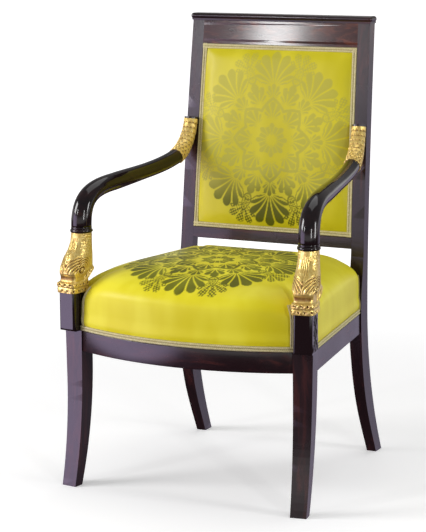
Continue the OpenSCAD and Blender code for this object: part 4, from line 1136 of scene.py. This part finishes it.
def braid_part(path, out, width, thick, pitch=CORD_PITCH):
    """A flat braid of two ribbed cords along a line of points, and how deep its points lie.

    The ribs are on the side that out points to.
    """
    path = np.asarray(path, float)
    steps = np.concatenate([[0], np.cumsum(np.linalg.norm(np.diff(path, axis=0), axis=1))])
    s = np.linspace(0, steps[-1], int(steps[-1] / CORD_STEP) + 2)

    def spread(values):
        values = np.broadcast_to(np.asarray(values, float), path.shape)
        return np.column_stack([np.interp(s, steps, column) for column in values.T])

    centre = spread(path)
    out = unit_rows(spread(out))
    side = unit_rows(np.cross(unit_rows(np.gradient(centre, axis=0)), out))
    w = np.linspace(-1, 1, 15)
    off = np.abs(w) - 0.5
    cord = np.sqrt(unit(1 - (off / 0.5) ** 2))
    rib = 0.5 + 0.5 * np.cos(2 * np.pi * (s[:, None] / pitch + off * 1.1))
    # Two more points close each ring under the cords
    w = np.append(w, [1, -1])
    height = np.pad(0.3 + cord * (0.5 + 0.2 * rib), ((0, 0), (0, 2)))
    # How deep each point lies between and along the cords; the gimp's shader darkens it there, as
    # painted shade
    depth = np.pad(1 - cord * (0.45 + 0.55 * rib), ((0, 0), (0, 2)), constant_values=1)
    rings = centre[:, None] + side[:, None] * (w * width / 2)[:, None]
    return loft(rings + out[:, None] * (height * thick)[..., None]), depth


def braid_piece(name, parts, stands_for=()):
    depth = np.concatenate([d.ravel() for _, d in parts])
    mesh = joined([part_mesh for part_mesh, _ in parts])
    add_piece(name, mesh, gimp, "gimp", stands_for, carved_depth=depth)


def upright_braid(seat, corner, out, away, rows, sign):
    """A length of gimp up a wall of the cushion, at a distance from a corner of its plan."""
    mirror = np.array([sign, 1])
    offset = seat[0, :, :2] - corner * mirror
    on_wall = np.abs(offset @ (out * mirror)) < 3.5
    reach = np.where(on_wall, np.hypot(*offset.T), np.inf)
    index = np.argmin(np.abs(reach - away))
    column = seat[: rows + 1, index, :]
    around = seat[: rows + 1, (index + 1) % seat.shape[1], :] - seat[: rows + 1, index - 1, :]
    normal = np.cross(around, np.gradient(column, axis=0))
    normal *= np.sign(normal[:, :2] @ (out * mirror))[:, None]
    foot = [*column[0, :2], UPRIGHT_FOOT_Z]
    line = np.concatenate([[foot], column[:rows]])
    normal = unit_rows(np.concatenate([normal[:1], normal[:rows]]))
    if sign > 0:
        line, normal = line[::-1], normal[::-1]
    return braid_part(line, normal, *UPRIGHT_CORD)


def build_seat_gimps(seat):
    """Gimp round the foot of the seat, and up its walls beside the blocks and the posts."""
    x = np.linspace(-NOTCH_X, NOTCH_X, 120)
    y = bow_y(x, BOW_R - GIMP_SET)
    front = np.column_stack([x, y, 0 * x + GIMP_Z])
    ends = [side_line(GIMP_SET, along) for along in (NOTCH_ALONG, SIDE_L - POST_GAP)]
    side = np.array([[*end, GIMP_Z] for end in ends])
    out = np.array([*-SIDE_IN, 0])
    half = post_in_x(RAIL_TOP) - POST_GAP
    rear = [[x_end, REAR_Y - GIMP_SET, GIMP_Z] for x_end in (half, -half)]
    lines = [
        (front, np.column_stack([x, y - BOW_MID_Y, 0 * x])),
        (side, out),
        (side[::-1] * MIRROR, out * MIRROR),
        (rear, [0, 1, 0]),
    ]
    parts = [braid_part(line, way, GIMP_W, GIMP_T) for line, way in lines]
    braid_piece("seat_braid", parts, ["seat_gimp"])
    # Corner of the plan, way outwards, distance from the corner, and rows of the cushion's grid
    corners = [
        (np.array([NOTCH_X, bow_y(NOTCH_X)]), np.array([0.0, -1.0]), 7, 20),
        (side_line(0, NOTCH_ALONG), -SIDE_IN, 14, 16),
        (side_line(0, SIDE_L - FIT), -SIDE_IN, 4, 12),
    ]
    uprights = [upright_braid(seat, *corner, sign) for sign in (1, -1) for corner in corners]
    braid_piece("seat_braid_upright", uprights)


def frame_line(depth):
    """Corners of the gimp round the back, at a depth behind the posts' front faces."""
    half = GIMP_W / 2
    lines = []
    rising = (SLIP_LOW + POST_GAP, SLIP_HIGH - POST_GAP, 1)
    falling = (SLIP_HIGH + POST_GAP, SLIP_LOW + POST_GAP, -1)
    for start, end, sign in (rising, falling):
        z = np.linspace(start, end, 40)
        x = (post_in_x(z) - POST_GAP - half) * sign
        lines.append(np.column_stack([x, post_front_y(z) + depth, z]))
    for z, sign in ((SLIP_HIGH - FIT - half, 1), (SLIP_LOW + FIT + half, -1)):
        x = (post_in_x(z) - POST_GAP) * sign
        y = post_front_y(z) + depth
        lines.append(np.array([[x, y, z], [-x, y, z]]))
    return lines


def build_back_gimps():
    """Gimp round both faces of the back; the lengths across are a little thicker."""
    for name, depth, way in (("front", 2.2, -1), ("rear", 21.3, 1)):
        parts = []
        for line, thick in zip(frame_line(depth), (3.5, 3.5, 3.65, 3.65)):
            parts.append(braid_part(line[::-way], [0, way, 0], GIMP_W, thick))
        braid_piece(f"back_braid_{name}", parts, [f"back_gimp_{name}"])


# Carving on the outer face of each block: v and z of its field, and where it lies
BLOCK_FACE = 21.45
FIELD_V = (-49, -9)
FIELD_Z = (335, 409)


def build_block_relief():
    """Two waves that cross down the face, with leaves outside them and a tuft at the foot."""
    v, z = np.meshgrid(np.linspace(*FIELD_V, 60), np.linspace(*FIELD_Z, 110))
    off = v - sum(FIELD_V) / 2
    swing = 7.0 * np.sin((z - 338) * 2 * np.pi / 46)
    waves = np.maximum(hump(off - swing, 1.9), hump(off + swing, 1.9))
    leaf = hump(np.abs(off) - np.abs(swing) - 4.5, 1.8) * (0.6 + 0.4 * np.cos(z * 0.9))
    spine = 0.7 * hump(off, 1.2) * unit(np.abs(swing) / 8 - 0.4)
    tuft = hump(z - 342, 7) * np.abs(np.cos(off * 0.32))
    relief = np.maximum.reduce([waves, 0.75 * leaf, spine, 0.8 * tuft])
    edge = box_share(v, *FIELD_V, 3) * box_share(z, *FIELD_Z, 3)
    u = BLOCK_FACE - 0.4 + (0.5 + 1.7 * relief) * edge
    near = np.stack([u, v, z], -1)
    far = np.stack([0 * u + BLOCK_FACE - 1.2, v, z], -1)
    both_sides("block_relief", slab(on_side(near), on_side(far)), wood_leg, "mahogany")


# Under the seat
STRAPS = 5
STRAP_PITCH = 72
STRAP_W = 58
STRAP_T = 1.4
STRAP_Z = RAIL_TOP + 0.75
STRAP_LIFT = 1.5
# A strap rises between these distances from the middle of one that it goes over
RISE = (42, 30)
STRAP_END = 10.5
CANVAS_TOP = 346.1
CANVAS_T = 1.0
CANVAS_SHARES = [1, 0.97, 0.85, 0.7, 0.55, 0.4, 0.25, 0.1]


def strap_part(x, y, z, side):
    """A flat strap with soft edges along a line of points."""
    w = np.array([-1, -0.985, -0.9, -0.45, 0, 0.45, 0.9, 0.985, 1])
    h = np.array([0, 0.75, 1, 0.96, 1, 0.96, 1, 0.75, 0])
    loop_w = np.concatenate([w, w[-2:0:-1]]) * STRAP_W / 2
    loop_h = np.concatenate([h, -h[-2:0:-1]]) * STRAP_T / 2
    loop = np.outer(loop_w, side) + np.outer(loop_h, (0, 0, 1))
    return loft(np.column_stack([x, y, z])[:, None] + loop)


def woven_z(along, spots, first_up):
    """Height of a strap along its length, over and under the crossing straps."""
    lift = np.zeros_like(along)
    for spot in spots[1 - first_up :: 2]:
        lift = np.maximum(lift, STRAP_LIFT * fade(np.abs(along - spot), *RISE))
    return STRAP_Z + lift


def build_webbing():
    mid = (SIDE_A[1] + REAR_Y - 26) / 2
    xs = [(i - STRAPS // 2) * STRAP_PITCH for i in range(STRAPS)]
    ys = [mid + x for x in xs]
    lengthwise = []
    for i, x in enumerate(xs):
        front = bow_y(abs(x) + STRAP_W / 2, BOW_R - 4.5) + 6
        y = np.linspace(front, REAR_Y - STRAP_END, 90)
        lengthwise.append(strap_part(0 * y + x, y, woven_z(y, ys, i % 2), (1, 0, 0)))
    crosswise = []
    for j, y in enumerate(ys):
        half = side_line(STRAP_END, (y + STRAP_W / 2 - SIDE_A[1]) / SIDE_DIR[1])[0]
        x = np.linspace(-half, half, 90)
        crosswise.append(strap_part(x, 0 * x + y, woven_z(x, xs, (j + 1) % 2), (0, -1, 0)))
    for name, straps in (("lengthwise", lengthwise), ("crosswise", crosswise)):
        add_piece(f"strap_{name}", joined(straps), webbing, "webbing", [f"seat_webbing_{name}"])


def build_base_cloth():
    """Canvas over the webbing, under the stuffing."""
    plan = seat_plans(8.0)[0]
    edge = plan - outward(plan) * 9
    level = np.full(len(edge), CANVAS_TOP)
    top = [np.column_stack([CROWN_MID + (edge - CROWN_MID) * s, level]) for s in CANVAS_SHARES]
    low = [ring - np.array([0, 0, CANVAS_T]) for ring in top]
    mesh = loft(np.array(low[::-1] + top))
    piece = add_piece("seat_canvas", mesh, hessian, "hessian", ["seat_base_cloth"])
    size = edge.max(0) - edge.min(0)
    float(size[0] * MM)
    float(size[1] * MM)


seat_grid = build_seat()
build_back()
build_back_outside()
build_seat_gimps(seat_grid)
build_back_gimps()
build_block_relief()
build_webbing()
build_base_cloth()


# Stage, light and camera. Lights: name, place, target, size and watts, in metres
LIGHTS = [
    ("key", (-2.35, -1.5, 1.6), (0, 0, 0.45), (1.1, 1.1), 48),
    ("left_strip", (-1.44, -2.86, 1.53), (0, 0.2, 0.9), (0.16, 0.6), 10),
    ("right_strip", (2.6, -2.3, 1.1), (0, 0, 0.5), (0.14, 1.0), 18),
    ("right_fill", (3.0, -0.1, 1.0), (0, 0, 0.45), (0.5, 1.2), 27),
    ("top", (0.2, 0.6, 3.0), (0, 0, 0.4), (2.2, 2.2), 20),
]
# Ways to the two low sheets that the polish mirrors, and their red, green and blue
LEFT_WAY = (-0.76, -0.65)
LEFT_GLOW = (2.8, 2.3, 3.4)
BEHIND_WAY = (0.4, 0.915)
BEHIND_GLOW = (0.5, 0.45, 0.6)
# Where they fade in: the share of a look along their way, and its height
LEFT_EDGES = ((0.87, 0.96), (0.2, 0.1))
BEHIND_EDGES = ((0.87, 0.92), (-0.03, -0.1))
GROUND_GLOW = (0.1, 0.07, 0.08)
HORIZON = (-0.1, -0.03)
SKY = (0.05, 0.18)
SKY_DIM = 0.26
# The floor: half its width, and how it glows near the chair and far away
FLOOR_HALF = 60000
FLOOR_NEAR_FAR = (700, 3200)
FLOOR_GLOW = (0.3, 0.95)
# The photograph's camera, fitted to the chair's own lines: angles in radians, shifts in pixels
CAMERA_PLACE = (1.814, -3.7451, 1.223)
YAW = 0.4591
PITCH = -0.1842
ROLL = -0.0063
LENS = 134.85
PHOTO_H = 532
SHIFT_X = -6.15
SHIFT_Y = -0.31


def build_stage():
    """A white floor that is seen but neither lights nor mirrors; it glows more away from the chair."""
    paint = Paint("floor_paint")
    x, y, _ = paint.axes()
    glow = (x * x + y * y).math("SQRT").fade(*FLOOR_NEAR_FAR, *FLOOR_GLOW)
    paint.set(Base_Color=(0.9, 0.9, 0.9, 1), Roughness=0.8, Specular_IOR_Level=0.1)
    paint.set(Emission_Color=(1, 1, 1, 1), Emission_Strength=glow)
    corners = np.array([(-1, -1, 0), (1, -1, 0), (1, 1, 0), (-1, 1, 0)]) * FLOOR_HALF
    floor = make_object("floor", (corners, [(0, 1, 2, 3)]), paint.material)
    floor.visible_diffuse = False
    floor.visible_glossy = False
    floor.visible_shadow = False


def build_world():
    """A white studio, dimmer overhead, with low lilac sheets on the left and behind."""
    world = bpy.data.worlds.new("studio")
    world.use_nodes = True
    tree = world.node_tree
    coords = add_node(tree, "TexCoord", {})
    split = add_node(tree, "SeparateXYZ", {0: coords.outputs["Generated"]})
    x, y, z = [Num(out) for out in split.outputs]

    def sheet(way, edges):
        along, height = edges
        return (x * way[0] + y * way[1]).fade(*along) * z.fade(*height)

    left = sheet(LEFT_WAY, LEFT_EDGES)
    behind = sheet(BEHIND_WAY, BEHIND_EDGES)
    above = z.fade(*HORIZON) * z.fade(*SKY, 1.0, SKY_DIM)
    shades = []
    for ground, left_glow, behind_glow in zip(GROUND_GLOW, LEFT_GLOW, BEHIND_GLOW):
        plain = above.math("MAXIMUM", ground)
        shades.append(mix(mix(plain, left_glow, left), behind_glow, behind))
    color = add_node(tree, "CombineXYZ", dict(enumerate(shades))).outputs[0]
    put(tree.nodes["Background"].inputs["Color"], color)
    scene.world = world
    scene.view_settings.view_transform = "Standard"


def area_light(name, place, target, size, watts):
    """A soft box at a place that points at a target."""
    data = bpy.data.lights.new(name, "AREA")
    data.shape = "RECTANGLE"
    data.size, data.size_y = size
    data.energy = watts
    light = placed(name, data)
    x, y, z = np.subtract(target, place)
    light.rotation_euler = (math.atan2(math.hypot(x, y), -z), 0, math.atan2(-x, y))
    light.location = place


def build_camera():
    ahead = np.array([*turned(0, math.cos(PITCH), YAW), math.sin(PITCH)])
    level = np.array([*turned(1, 0, YAW), 0])
    right, up = turned(level, np.cross(level, ahead), -ROLL)
    data = bpy.data.cameras.new("camera")
    data.sensor_fit = "VERTICAL"
    data.sensor_height = 36
    data.lens = LENS
    data.shift_x = SHIFT_X / PHOTO_H
    data.shift_y = SHIFT_Y / PHOTO_H
    camera = placed("camera", data)
    matrix = np.eye(4)
    matrix[:3] = np.stack([right, up, -ahead, CAMERA_PLACE], 1)
    camera.matrix_world = Matrix(matrix.tolist())
    scene.camera = camera


build_stage()
build_world()
for light in LIGHTS:
    area_light(*light)
build_camera()
